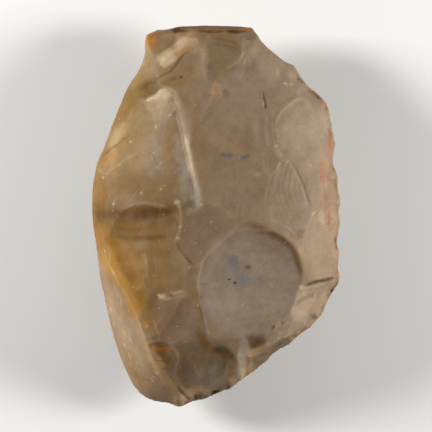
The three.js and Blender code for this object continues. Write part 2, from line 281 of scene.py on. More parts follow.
def upperSurface(x, y, withFacet=True):
    # height of the upper face and which scar it belongs to
    dome = upperDome(x, y)
    height, owner = dome.copy(), np.full(len(x), -1)
    bends = [bendAt(x, y, *handAxe["bends"][0]), bendAt(x, y, *handAxe["bends"][1])]
    bend = (bends[0][0] + bends[1][0], bends[0][1] + bends[1][1])
    surfaces = [scarHeight(mark, upperDome, 1, x, y, dome, bend) for mark in upperMarks]
    if withFacet:
        surfaces.append(facetHeight(x, y))
    for index, surface in enumerate(surfaces):
        lower = surface < height
        height[lower] = surface[lower]
        owner[lower] = index
    return height, owner


def lowerSurface(x, y):
    dome = lowerDome(x, y)
    height = np.maximum(dome, 0)
    bend = bendAt(x, y, *handAxe["bends"][0])
    for mark in lowerMarks:
        height = np.maximum(height, scarHeight(mark, lowerDome, -1, x, y, dome, bend))
    return height


ridgeX, ridgeY = smoothLine(flankRidge).T
ridgeShares, ridgeBearings = outwardShare(ridgeX, ridgeY)
ridgeRises = (upperSurface(ridgeX, ridgeY, False)[0] - edgeHeight(ridgeX, ridgeY)) / (1 - ridgeShares)
order = np.argsort(ridgeBearings)
ridgeBearings, ridgeRises = ridgeBearings[order], ridgeRises[order]


def buttPlane(z):
    place, level, lean = handAxe["buttBreak"]
    return place - (z - level) * math.tan(math.radians(lean))


def alongLine(x, y, turns, margin):
    # signed distance to a curve, positive on its left, and the share of the way along it
    line = smoothLine(turns, steps=6)
    near = ((x > line[:, 0].min() - margin) & (x < line[:, 0].max() + margin)
            & (y > line[:, 1].min() - margin) & (y < line[:, 1].max() + margin))
    px, py = x[near], y[near]
    runs = np.linalg.norm(np.diff(line, axis=0), axis=1)
    starts = np.concatenate([[0], np.cumsum(runs)])
    nearest, signed, share = np.full(len(px), farAway), np.full(len(px), -farAway), np.zeros(len(px))
    for i, run in enumerate(runs):
        ux, uy = (line[i + 1] - line[i]) / run
        dx, dy = px - line[i, 0], py - line[i, 1]
        t = np.clip(dx * ux + dy * uy, 0, run)
        gap = np.hypot(dx - t * ux, dy - t * uy)
        closer = gap < nearest
        nearest[closer] = gap[closer]
        signed[closer] = np.where(ux * dy - uy * dx > 0, gap, -gap)[closer]
        share[closer] = ((starts[i] + t) / starts[-1])[closer]
    allSigned, allShares = np.full(len(x), -farAway), np.zeros(len(x))
    allSigned[near], allShares[near] = signed, share
    return allSigned, allShares


def outOfPatch(x, y, at, size, turn=0):
    # 0 in the middle of an oval patch, 1 on its rim
    c, s = math.cos(math.radians(turn)), math.sin(math.radians(turn))
    dx, dy = x - at[0], y - at[1]
    return np.hypot((dx * c + dy * s) / (size[0] / 2), (dy * c - dx * s) / (size[1] / 2))


def selectOnly(piece):
    bpy.ops.object.select_all(action="DESELECT")
    piece.select_set(True)
    bpy.context.view_layer.objects.active = piece


def applyModifier(piece, name, kind, **settings):
    selectOnly(piece)
    modifier = piece.modifiers.new(name, kind)
    for key, value in settings.items():
        setattr(modifier, key, value)
    bpy.ops.object.modifier_apply(modifier=modifier.name)


def readPoints(piece, what="co"):
    values = np.zeros(len(piece.data.vertices) * 3)
    if what == "co":
        piece.data.vertices.foreach_get("co", values)
        return values.reshape(-1, 3) / millimetre
    piece.data.vertex_normals.foreach_get("vector", values)
    return values.reshape(-1, 3)


def writePoints(piece, points):
    piece.data.vertices.foreach_set("co", (points * millimetre).ravel())
    piece.data.update()


flint = bpy.data.objects.new("flint_hand_axe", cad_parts["stone"].data.copy())
bpy.context.scene.collection.objects.link(flint)
flint.data.materials.clear()
selectOnly(flint)
bpy.ops.object.mode_set(mode="EDIT")
bpy.ops.mesh.select_all(action="SELECT")
bpy.ops.mesh.remove_doubles(threshold=1e-6)
bpy.ops.object.mode_set(mode="OBJECT")
applyModifier(flint, "even skin", "REMESH", mode="VOXEL", voxel_size=handAxe["skinSize"] * millimetre)
print("skin laid:", len(flint.data.vertices), "points")

# draw every point of the skin onto the nearer of the two carved faces
points = readPoints(flint)
nudge = 0.05                          # how far apart two heights are read, to tell the slope
for _ in range(handAxe["fitRounds"]):
    x, y, z = points.T
    upper = upperSurface(x, y)[0]
    upperX = (upperSurface(x + nudge, y)[0] - upper) / nudge
    upperY = (upperSurface(x, y + nudge)[0] - upper) / nudge
    lower = lowerSurface(x, y)
    lowerX = (lowerSurface(x + nudge, y) - lower) / nudge
    lowerY = (lowerSurface(x, y + nudge) - lower) / nudge
    upperSteep, lowerSteep = 1 + upperX**2 + upperY**2, 1 + lowerX**2 + lowerY**2
    overUpper = (z - upper) / np.sqrt(upperSteep)
    overLower = (lower - z) / np.sqrt(lowerSteep)
    overButt = y - buttPlane(z)
    onUpper = (overUpper >= overLower) & (overUpper >= overButt)
    onButt = (overButt > overUpper) & (overButt > overLower)
    step = np.where(onUpper[:, None],
                    np.stack([upperX, upperY, -np.ones(len(x))], 1) * ((z - upper) / upperSteep)[:, None],
                    np.stack([-lowerX, -lowerY, np.ones(len(x))], 1) * ((lower - z) / lowerSteep)[:, None])
    step[onButt] = 0
    step[onButt, 1] = -overButt[onButt]
    reach = np.linalg.norm(step, axis=1)
    step *= np.minimum(1, handAxe["fitStep"] / np.maximum(reach, 1e-9))[:, None]
    points = points + step
writePoints(flint, points)
applyModifier(flint, "wear", "SMOOTH", factor=0.5, iterations=handAxe["wear"])
print("carved")

# Steps of the upper face, where one flake broke past another: the line, with the low side on its left,
# then the drop, how wide the drop is and how far the low side takes to come up again.
steps = {
    "left hollow wall": ([(-7, -1), (-5.8, 3), (-5.6, 6.5), (-6.3, 10), (-7.2, 14), (-8.2, 18), (-9.2, 22),
        (-10, 26), (-11, 31), (-12.6, 36)], 1.5, 2.6, 7),
    "crushed head": ([(-11, 34.5), (-12.6, 37.2), (-15, 38.9), (-18, 38.6), (-21, 36.8), (-24.5, 34.8)],
        0.7, 1.6, 5),
    "crush shelf": ([(-11.8, 33), (-14, 34.6), (-17, 34.4), (-20, 33.4), (-24, 33)], 0.3, 0.8, 4),
    "pale flake edge": ([(-36, 18.6), (-33.4, 20.6), (-30, 22.8), (-26.5, 25.4)], -0.35, 0.8, 5),
    "left hollow arc": ([(-17, 13), (-18.4, 16), (-19.8, 18.6), (-22, 19.9), (-24.5, 19.3), (-27.5, 17.7),
        (-30.5, 15.9), (-33.5, 13.9), (-37, 12)], 0.28, 0.7, 6),
    "dark fold": ([(-6, 3), (-13, 2.2), (-18, 1.9), (-24, 1.8), (-30, 2), (-36, 2.6), (-42, 4)],
        0.7, 4.4, 9),
    "second fold": ([(-13.5, -6), (-20, -6.6), (-27, -7), (-34, -6.4)], 0.25, 1.8, 5),
    "saddle edge": ([(-10.6, 2), (-11, -2), (-12, -6), (-11.8, -8.5), (-10, -11.2), (-7.8, -14.2),
        (-5.6, -16)], 0.35, 0.7, 4),
    "right crack": ([(39.2, -18.4), (36, -19.3), (33.4, -19.6), (31, -20.4), (28.4, -21.2), (26, -21.6)],
        0.8, 0.6, 6),
    "corner step": ([(32.5, -24), (30, -24.5), (27.5, -25.3), (25, -27), (23.6, -29)], 0.45, 1.2, 4),
    "cream ridge": ([(-21, 45), (-18, 47.8), (-15, 49.8), (-11.4, 52.6), (-8.6, 54.8), (-6, 56.4)],
        1.3, 2.4, 6),
    "butt flake left": ([(-5.4, 56), (-4.6, 53), (-3.2, 51), (-3.5, 47), (-3, 43), (-2, 40)], 0.35, 0.8, 4),
    "butt flake right": ([(-1.5, 41.5), (1.5, 44), (5, 46.8), (7.6, 49.5), (8.4, 53), (8.3, 57)],
        0.35, 0.7, 5),
    "foot shelf": ([(-13.5, -40.2), (-15.5, -39.4), (-18, -39.2), (-21, -40)], 0.55, 0.8, 3),
    "foot spine": ([(2.8, -43.2), (0.3, -40.8), (-1.8, -38), (-2.7, -35), (-3.5, -31), (-4.5, -27),
        (-5.4, -22.5), (-5.4, -18.5), (-4.6, -15.5)], 0.55, 1.6, 5),
    "foot side": ([(7.2, -54), (7, -50), (6.2, -46), (4.8, -43), (2, -40.6), (-2, -38.8)], 0.9, 2.2, 5),
    "outer fork": ([(26.2, -6.2), (28.5, -2.6), (30.5, 0.6), (32, 2.8)], 0.28, 0.5, 4),
    "inner fork": ([(15, -0.5), (19, -2), (22.5, -3.8), (25.3, -7)], 0.25, 0.5, 4),
    "right flake edge": ([(29, 36.9), (24.5, 35.8), (22.3, 34), (20.2, 31.7), (18.9, 30), (18.7, 26.5),
        (19.3, 23.5), (18, 21), (17.5, 18.5)], 0.28, 0.6, 5),
    "shoulder flake": ([(19.2, 46.5), (20, 43.2), (22, 41.9), (24.5, 42), (27.5, 42.8)], 0.35, 0.6, 3),
    "rib": ([(30, 1), (28, 6.5), (25.5, 12.8), (22, 18.5)], 0.18, 0.5, 5),
}

# Narrow ridges, and grooves with height below 0: line, height and half width.
threads = [
    ([(-14, -39.5), (-12.4, -42), (-11.7, -45), (-12.3, -48), (-13, -50.5), (-11, -53.5), (-8.3, -57.5)],
     0.25, 0.6),
    ([(-11.6, -54.2), (-9.8, -56.4), (-8.3, -58.4)], -0.4, 0.35),
    ([(-7, -46.3), (-6.2, -48), (-5.4, -50)], 0.12, 0.35),
    ([(-9.2, -45.2), (-8.2, -43), (-7.6, -41.6)], 0.15, 0.4),
    ([(-8.6, 52), (-10.5, 49.5), (-12, 47), (-13.5, 45), (-16, 43.5), (-20, 42.2), (-24, 41)], -0.3, 0.4),
    ([(-1.2, 36.2), (-3, 33), (-5, 28.5)], 0.1, 0.5),
    ([(14.2, 38.2), (14.7, 36), (15.2, 34.2), (15.3, 32.8)], -0.35, 0.3),
    ([(-17.6, -24.4), (-16.4, -25.2), (-14.8, -25.3)], 0.2, 0.35),
    ([(-15.6, -23.6), (-12.4, -23), (-9.4, -22.5)], -0.15, 0.3),
    ([(-28, 27.6), (-31, 24.5), (-35.5, 20)], 0.12, 0.8),
    ([(8, -37.8), (9.5, -37.3), (11, -37.5)], -0.12, 0.25),
    ([(8, -38.9), (9.5, -38.5), (11, -38.6)], -0.12, 0.25),
    ([(21, 46.4), (22.6, 46.9), (24.4, 46.6)], -0.15, 0.35),
]

# Dents (and bumps, with depth below 0): place, size, turn and depth.
dents = [
    ((-9.2, 5.4), (5, 6), 0, 0.3), ((13, -39), (5, 3.6), 0, 0.5), ((-16, -24.5), (2.6, 1.6), 0, -0.35),
    ((-13.9, -24.6), (1.8, 1), 20, 0.3), ((30.5, -31.5), (2, 1.4), -20, 0.35),
    ((17.5, -34.5), (1.2, 1.2), 0, 0.25), ((20.5, -33.2), (1.2, 1.2), 0, 0.25),
    ((10, -15.9), (1.8, 1.4), 0, 0.15), ((0.4, 38.6), (2.6, 6.4), 0, -0.12),
    ((23.3, 41.3), (1.4, 1.1), 0, -0.25), ((21.4, 41.2), (1.8, 0.8), 0, -0.2),
    ((24.2, 41.6), (1, 0.9), 0, 0.25), ((-6.5, -57), (1.4, 2.2), 0, 0.4),
    ((3.7, -53.9), (1.6, 1.4), 0, 0.35), ((-24, 12.5), (16, 12), 0, 0.15), ((-11, -41.5), (8, 5), 0, 0.3),
    ((1.5, -49), (7, 10), 0, 0.5), ((-17, -43.5), (6, 4), 0, 0.25), ((-17, -46), (6, 2), 0, 0.15),
    ((11.5, -44.5), (4, 4.5), 30, -0.3), ((-10.9, 43), (0.9, 0.8), 0, 0.2),
]

# Rough patches: place, size, turn, height and how coarse.
crushes = [
    ((-17.5, 36.6), (12, 4.6), -6, 0.28, 1.3), ((1, -55), (14, 3), 12, 0.2, 1.2),
    ((24, -37.5), (16, 3), 38, 0.18, 1.4), ((-11, -52), (10, 12), 0, 0.07, 2),
    ((33, 37.5), (7, 3), -45, 0.25, 1.4), ((22.5, 41.5), (6, 2), 0, 0.15, 1.1),
]

# Rings that spread from where a flake was struck: where from, spacing, height, and the patch they fill.
rings = [
    ((-1, 66), 1.5, 0.07, (3, 53), (13, 10)), ((41, 9), 1.6, 0.034, (22.5, 6), (15, 24)),
    ((-22, 24), 2.3, 0.032, (15, 20), (14, 38)), ((14, -48), 2.9, 0.035, (10.6, -20.9), (32, 34)),
    ((-60, -60), 2.4, 0.035, (-20, -17), (8, 20)), ((-26, 60), 2.2, 0.03, (-24, 14), (30, 34)),
]

# How the tables above are carved, with the chips and the fine unevenness that come from seeds.
# A rim pair is where a patch begins and where it is full, 1 being its drawn edge.
relief = handAxe["relief"] = {
    "seed": 11,
    "wander": (0.35, 3),              # how far steps and ridges wander, and over what length
    "lineTaper": 0.15,                # share of a line over which each of its ends fades
    "stepRim": (2.6, 1.3),            # the low side fades out over this many recoveries
    "dentRim": (1.2, 0.2), "ringRim": (1, 0.5), "crushRim": (1.1, 0.6),
    "ringWander": [(0.7, 8, 0)],
    "ringStrength": (0.6, [(0.4, 6, 7)]),             # a level, and the layers that vary it
    "crushShift": 0.625,              # which part of the noise a crushed patch takes
    "grain": [(0.12, 8, 0), (0.06, 3.4, 0), (0.025, 1.4, 0)],
    "chips": {"seed": 5, "count": 64, "bearings": (-98, 72), "length": (1.8, 5.2), "depth": (0.1, 0.38),
              "inset": (0.4, 1.6), "turn": (-25, 25), "slimness": (0.45, 0.8), "rim": (1.1, 0.75)},
    "onUpper": (2.5, 1.0),            # relief fades out this far below the upper face
    "overEdge": (0.1, 1.2),           # and this far above the edge
    "underSeed": 31,
    "underGrain": [(0.12, 9, 0), (0.06, 3.2, 9)],
    "overGround": (0.05, 1.5),        # the lower face's grain sets in above its flat rest
}


def endTaper(share, part):
    # 1 along a line and 0 at its two ends
    return smoothStep(0, part, share) * smoothStep(1, 1 - part, share)


def reliefHeight(points):
    x, y, _ = points.T
    wobble = Grain(relief["seed"])
    wander, length = relief["wander"]
    bentX = x + wander * wobble.at(points + 17, length)
    bentY = y + wander * wobble.at(points + 43, length)
    rise = np.zeros(len(x))
    for line, drop, width, recovery in steps.values():
        gap, share = alongLine(bentX, bentY, line, 3 * recovery)
        low = smoothStep(-width / 2, width / 2, gap) * np.exp(-np.maximum(gap, 0) / recovery)
        low = low * smoothStep(*relief["stepRim"], gap / recovery)
        rise -= drop * low * endTaper(share, relief["lineTaper"])
    for line, height, width in threads:
        gap, share = alongLine(bentX, bentY, line, 4 * width)
        crest = np.exp(-np.minimum(np.abs(gap) / width, 9) ** 2)
        rise += height * crest * endTaper(share, relief["lineTaper"])
    for at, size, turn, depth in dents:
        rise -= depth * smoothStep(*relief["dentRim"], outOfPatch(bentX, bentY, at, size, turn))
    for source, spacing, height, at, size in rings:
        distance = np.hypot(bentX - source[0], bentY - source[1])
        distance = distance + wobble.layered(points, relief["ringWander"])
        base, layers = relief["ringStrength"]
        strength = base + wobble.layered(points, layers)
        fade = smoothStep(*relief["ringRim"], outOfPatch(x, y, at, size))
        rise += height * fade * strength * np.sin(2 * math.pi * distance / spacing)
    for at, size, turn, height, coarse in crushes:
        rough = wobble.at(points + relief["crushShift"] * coarse, coarse)
        fade = smoothStep(*relief["crushRim"], outOfPatch(bentX, bentY, at, size, turn))
        rise += height * fade * rough
    chips = relief["chips"]
    dice = np.random.default_rng(chips["seed"])
    for _ in range(chips["count"]):
        bearing = math.radians(dice.uniform(*chips["bearings"]))
        length, depth = dice.uniform(*chips["length"]), dice.uniform(*chips["depth"])
        out = outlineReach(bearing) - dice.uniform(*chips["inset"])
        at = (handAxe["middle"][0] + out * math.cos(bearing), handAxe["middle"][1] + out * math.sin(bearing))
        turn = math.degrees(bearing) + 90 + dice.uniform(*chips["turn"])
        size = (length, length * dice.uniform(*chips["slimness"]))
        rise -= depth * smoothStep(*chips["rim"], outOfPatch(bentX, bentY, at, size, turn))
    return rise + wobble.layered(points, relief["grain"])


points = readPoints(flint)
x, y, z = points.T.copy()
belowUpper, aboveEdge = np.abs(z - upperSurface(x, y)[0]), z - edgeHeight(x, y)
upperShare = smoothStep(*relief["onUpper"], belowUpper) * smoothStep(*relief["overEdge"], aboveEdge)
normals = readPoints(flint, "normal")
points[:, 2] += reliefHeight(points) * upperShare
under = Grain(relief["underSeed"]).layered(points, relief["underGrain"])
points += normals * (under * (1 - upperShare) * smoothStep(*relief["overGround"], z))[:, None]
points[:, 2] = np.maximum(points[:, 2], 0)
writePoints(flint, points)
print("relief laid on")

# The colours are painted on the points of the skin, in the order of the tables.
# Stains, and a few patches of painted shade: colour, strength, place, size, turn and softness of each patch.
stainsAndShade = [
    ((0.228, 0.166, 0.112), 0.8, (9, 41), (30, 26), 0, 0.8),
    ((0.205, 0.152, 0.1), 0.7, (8, 5), (20, 15), 0, 0.9),
    ((0.238, 0.178, 0.124), 0.6, (15, 27), (9, 16), 8, 0.9),
    ((0.305, 0.222, 0.148), 0.85, (19, 46), (16, 14), -45, 0.8),
    ((0.312, 0.226, 0.152), 0.85, (30, 30), (22, 30), 0, 0.6),
    ((0.28, 0.2, 0.124), 0.85, (33, -6), (14, 42), 0, 0.6),
    ((0.226, 0.164, 0.096), 0.8, (21.5, 4), (14, 24), 0, 0.4),
    ((0.322, 0.232, 0.15), 0.9, (28, -29), (18, 16), 0, 0.6),
    ((0.208, 0.126, 0.045), 0.95, (-22, 25), (34, 34), 0, 0.4),
    ((0.315, 0.185, 0.066), 0.8, (-34, 20), (9, 20), -12, 0.7),
    ((0.165, 0.09, 0.018), 0.85, (-25, 37.5), (20, 8.5), 44, 0.8),
    ((0.095, 0.04, 0.005), 0.85, (-20.4, 40.4), (8.5, 3.6), 14, 0.8),
    ((0.16, 0.09, 0.027), 0.9, (-23, 9), (34, 12), 0, 0.7),
    ((0.185, 0.082, 0.01), 0.9, (-37, 3), (6, 20), 0, 0.7),
    ((0.128, 0.058, 0.004), 0.92, (-25, -3), (33, 11), 0, 0.8),
    ((0.188, 0.103, 0.03), 0.95, (-19, -15), (24, 24), -25, 0.6),
    ((0.19, 0.118, 0.055), 0.7, (-10.5, -14), (8, 18), -15, 0.8),
    ((0.172, 0.12, 0.076), 0.85, (-4, -6), (14, 17), -20, 0.7),
    ((0.262, 0.196, 0.142), 0.95, (10.5, -21.2), (32, 37.2), 0, 0.2),
    ((0.3, 0.23, 0.168), 0.6, (3, -27), (12, 16), 0, 0.9),
    # Painted shade: a darker patch on the steep north-east wall of the round hollow, which faces away from
    # the light.
    ((0.205, 0.138, 0.086), 0.65, (18, -9), (20, 8), -32, 0.8),
    ((0.345, 0.235, 0.12), 0.85, (-31.6, 24.6), (11, 4.6), 40, 0.7),
    ((0.33, 0.24, 0.145), 0.85, (-17.2, 35.4), (11.5, 6.4), 14, 0.9),
    ((0.4, 0.305, 0.195), 0.8, (-15.6, 37.4), (6.4, 3.2), 20, 0.8),
    ((0.27, 0.19, 0.105), 0.6, (-16, 31), (10, 8), 0, 0.9),
    ((0.212, 0.142, 0.088), 0.9, (-11.5, -32), (16, 15), 0, 0.6),
    ((0.23, 0.165, 0.118), 0.5, (-11, -36), (8, 5), 0, 0.8),
    ((0.165, 0.096, 0.044), 0.9, (-16.5, -30.5), (12, 15), -25, 0.7),
    ((0.19, 0.095, 0.022), 0.8, (-20.4, -30), (5, 16), 18, 0.8),
    ((0.15, 0.098, 0.056), 0.6, (-12, -27.5), (9, 6), 0, 0.9),
    ((0.19, 0.12, 0.06), 0.9, (-6, -47), (20, 17), 0, 0.5),
    ((0.29, 0.088, 0.003), 0.92, (-17.3, -40.8), (8, 3), 0, 0.9),
    ((0.2, 0.098, 0.024), 0.9, (-16.2, -44.4), (6.5, 7), 0, 0.9),
    ((0.105, 0.038, 0.004), 0.7, (-18, -39.9), (6, 1.4), 0, 0.8),
    ((0.32, 0.18, 0.076), 0.75, (-13.8, -52.5), (6, 11), -25, 0.8),
    ((0.24, 0.165, 0.11), 0.7, (-6, -50.5), (8, 7), 0, 0.8),
    ((0.15, 0.095, 0.05), 0.7, (-9.5, -45), (5, 6), 0, 0.8),
    ((0.44, 0.262, 0.125), 0.85, (-8, -56.2), (11, 4.6), 22, 0.7),
    ((0.31, 0.198, 0.098), 0.8, (11, -44.5), (17, 8), 38, 0.6),
    ((0.18, 0.118, 0.06), 0.9, (2.4, 50.6), (12.4, 14.4), -20, 0.35),
    ((0.2, 0.125, 0.06), 0.7, (2.6, 44.4), (8, 4), 30, 0.9),
    ((0.222, 0.136, 0.06), 0.85, (-12, 43.5), (13, 11), 30, 0.7),
    ((0.23, 0.145, 0.066), 0.8, (-15.5, 55), (9, 6), 0, 0.8),
    ((0.33, 0.14, 0.038), 0.85, (-20.2, 55.4), (4.4, 7), 0, 0.7),
    ((0.31, 0.19, 0.11), 0.6, (35.4, 20), (3, 12), 0, 0.8),
    ((0.115, 0.118, 0.135), 0.75, (4.8, -14.8), (3.6, 5), 25, 0.9),
    ((0.165, 0.155, 0.155), 0.65, (8.8, -19.2), (6.4, 4), -20, 0.9),
    ((0.13, 0.075, 0.042), 0.75, (9.9, -15.8), (2.6, 1.8), 0, 0.8),
    ((0.095, 0.05, 0.016), 0.85, (12.8, -39.2), (7, 5), 10, 0.9),
    ((0.235, 0.172, 0.098), 0.7, (14, -33), (18, 8), 12, 0.9),
    ((0.36, 0.27, 0.175), 0.7, (9.6, -42), (3.6, 5.5), 10, 0.7),
    ((0.15, 0.112, 0.082), 0.8, (-0.8, -49.6), (7, 9), 0, 0.9),
    ((0.205, 0.098, 0.014), 0.9, (-27.8, -11.5), (9, 10), 30, 0.9),
    ((0.165, 0.075, 0.02), 0.8, (-16.4, -43.8), (5.6, 5.2), 0, 0.8),
    ((0.36, 0.2, 0.12), 0.6, (31.6, -30), (3.2, 3.2), 0, 0.8),
    ((0.335, 0.242, 0.152), 0.75, (27, -30.5), (6.4, 5), 10, 0.7),
    ((0.3, 0.2, 0.12), 0.6, (24.6, -34.4), (4.2, 4), 30, 0.8),
    ((0.08, 0.04, 0.01), 0.9, (13, -39.8), (5.8, 3.8), -14, 0.7),
    ((0.37, 0.242, 0.135), 0.8, (11, -45), (3.2, 3.8), 0, 0.7),
    ((0.3, 0.16, 0.05), 0.8, (9.6, -49.4), (4.2, 2.4), 0, 0.8),
    ((0.075, 0.042, 0.022), 0.85, (-14, -24.6), (1.7, 1), 20, 0.7),
    ((0.36, 0.26, 0.15), 0.7, (-16.2, -24.6), (2.3, 1.4), 0, 0.7),
    ((0.115, 0.06, 0.034), 0.75, (30.5, -31.5), (2.6, 1.7), -30, 0.8),
    ((0.1, 0.056, 0.026), 0.7, (17.5, -34.6), (1, 2.2), -24, 0.8),
    ((0.1, 0.056, 0.026), 0.7, (20.5, -33.2), (0.9, 1.8), 10, 0.8),
    ((0.015, 0.01, 0.008), 0.95, (4, -19.4), (0.9, 0.7), 0, 0.5),
    ((0.015, 0.01, 0.008), 0.95, (5.9, -20.6), (0.8, 1.1), 20, 0.5),
    ((0.03, 0.02, 0.015), 0.9, (-10.9, 43), (1.1, 0.9), 0, 0.5),
    ((0.05, 0.02, 0.01), 0.9, (-6.5, -57), (1.3, 2), 0, 0.6),
    ((0.03, 0.015, 0.01), 0.9, (3.7, -53.9), (1.4, 1.2), 0, 0.6),
    # Painted shadow at the top left of the butt.
    ((0.03, 0.018, 0.01), 0.85, (-11, 58.4), (6, 2.2), 0, 0.7),
]

# The same for the flank facet, laid over its own colour.
flankStains = [
    ((0.262, 0.15, 0.064), 0.8, (-25, -51), (16, 15), 0, 0.8),
    ((0.27, 0.16, 0.075), 0.7, (-37.5, -8), (7, 20), 8, 0.8),
    ((0.35, 0.25, 0.155), 0.6, (-30.5, -33), (5, 18), 20, 0.9),
    ((0.345, 0.245, 0.145), 0.6, (-23.5, -45), (5, 16), 24, 0.9),
    ((0.245, 0.168, 0.092), 0.6, (-26.5, -34), (3, 16), 28, 0.9),
    ((0.19, 0.11, 0.06), 0.55, (-24.5, -50.5), (2.4, 2.6), 0, 0.8),
    ((0.24, 0.16, 0.095), 0.5, (-33, -20), (4, 8), 15, 0.9),
]
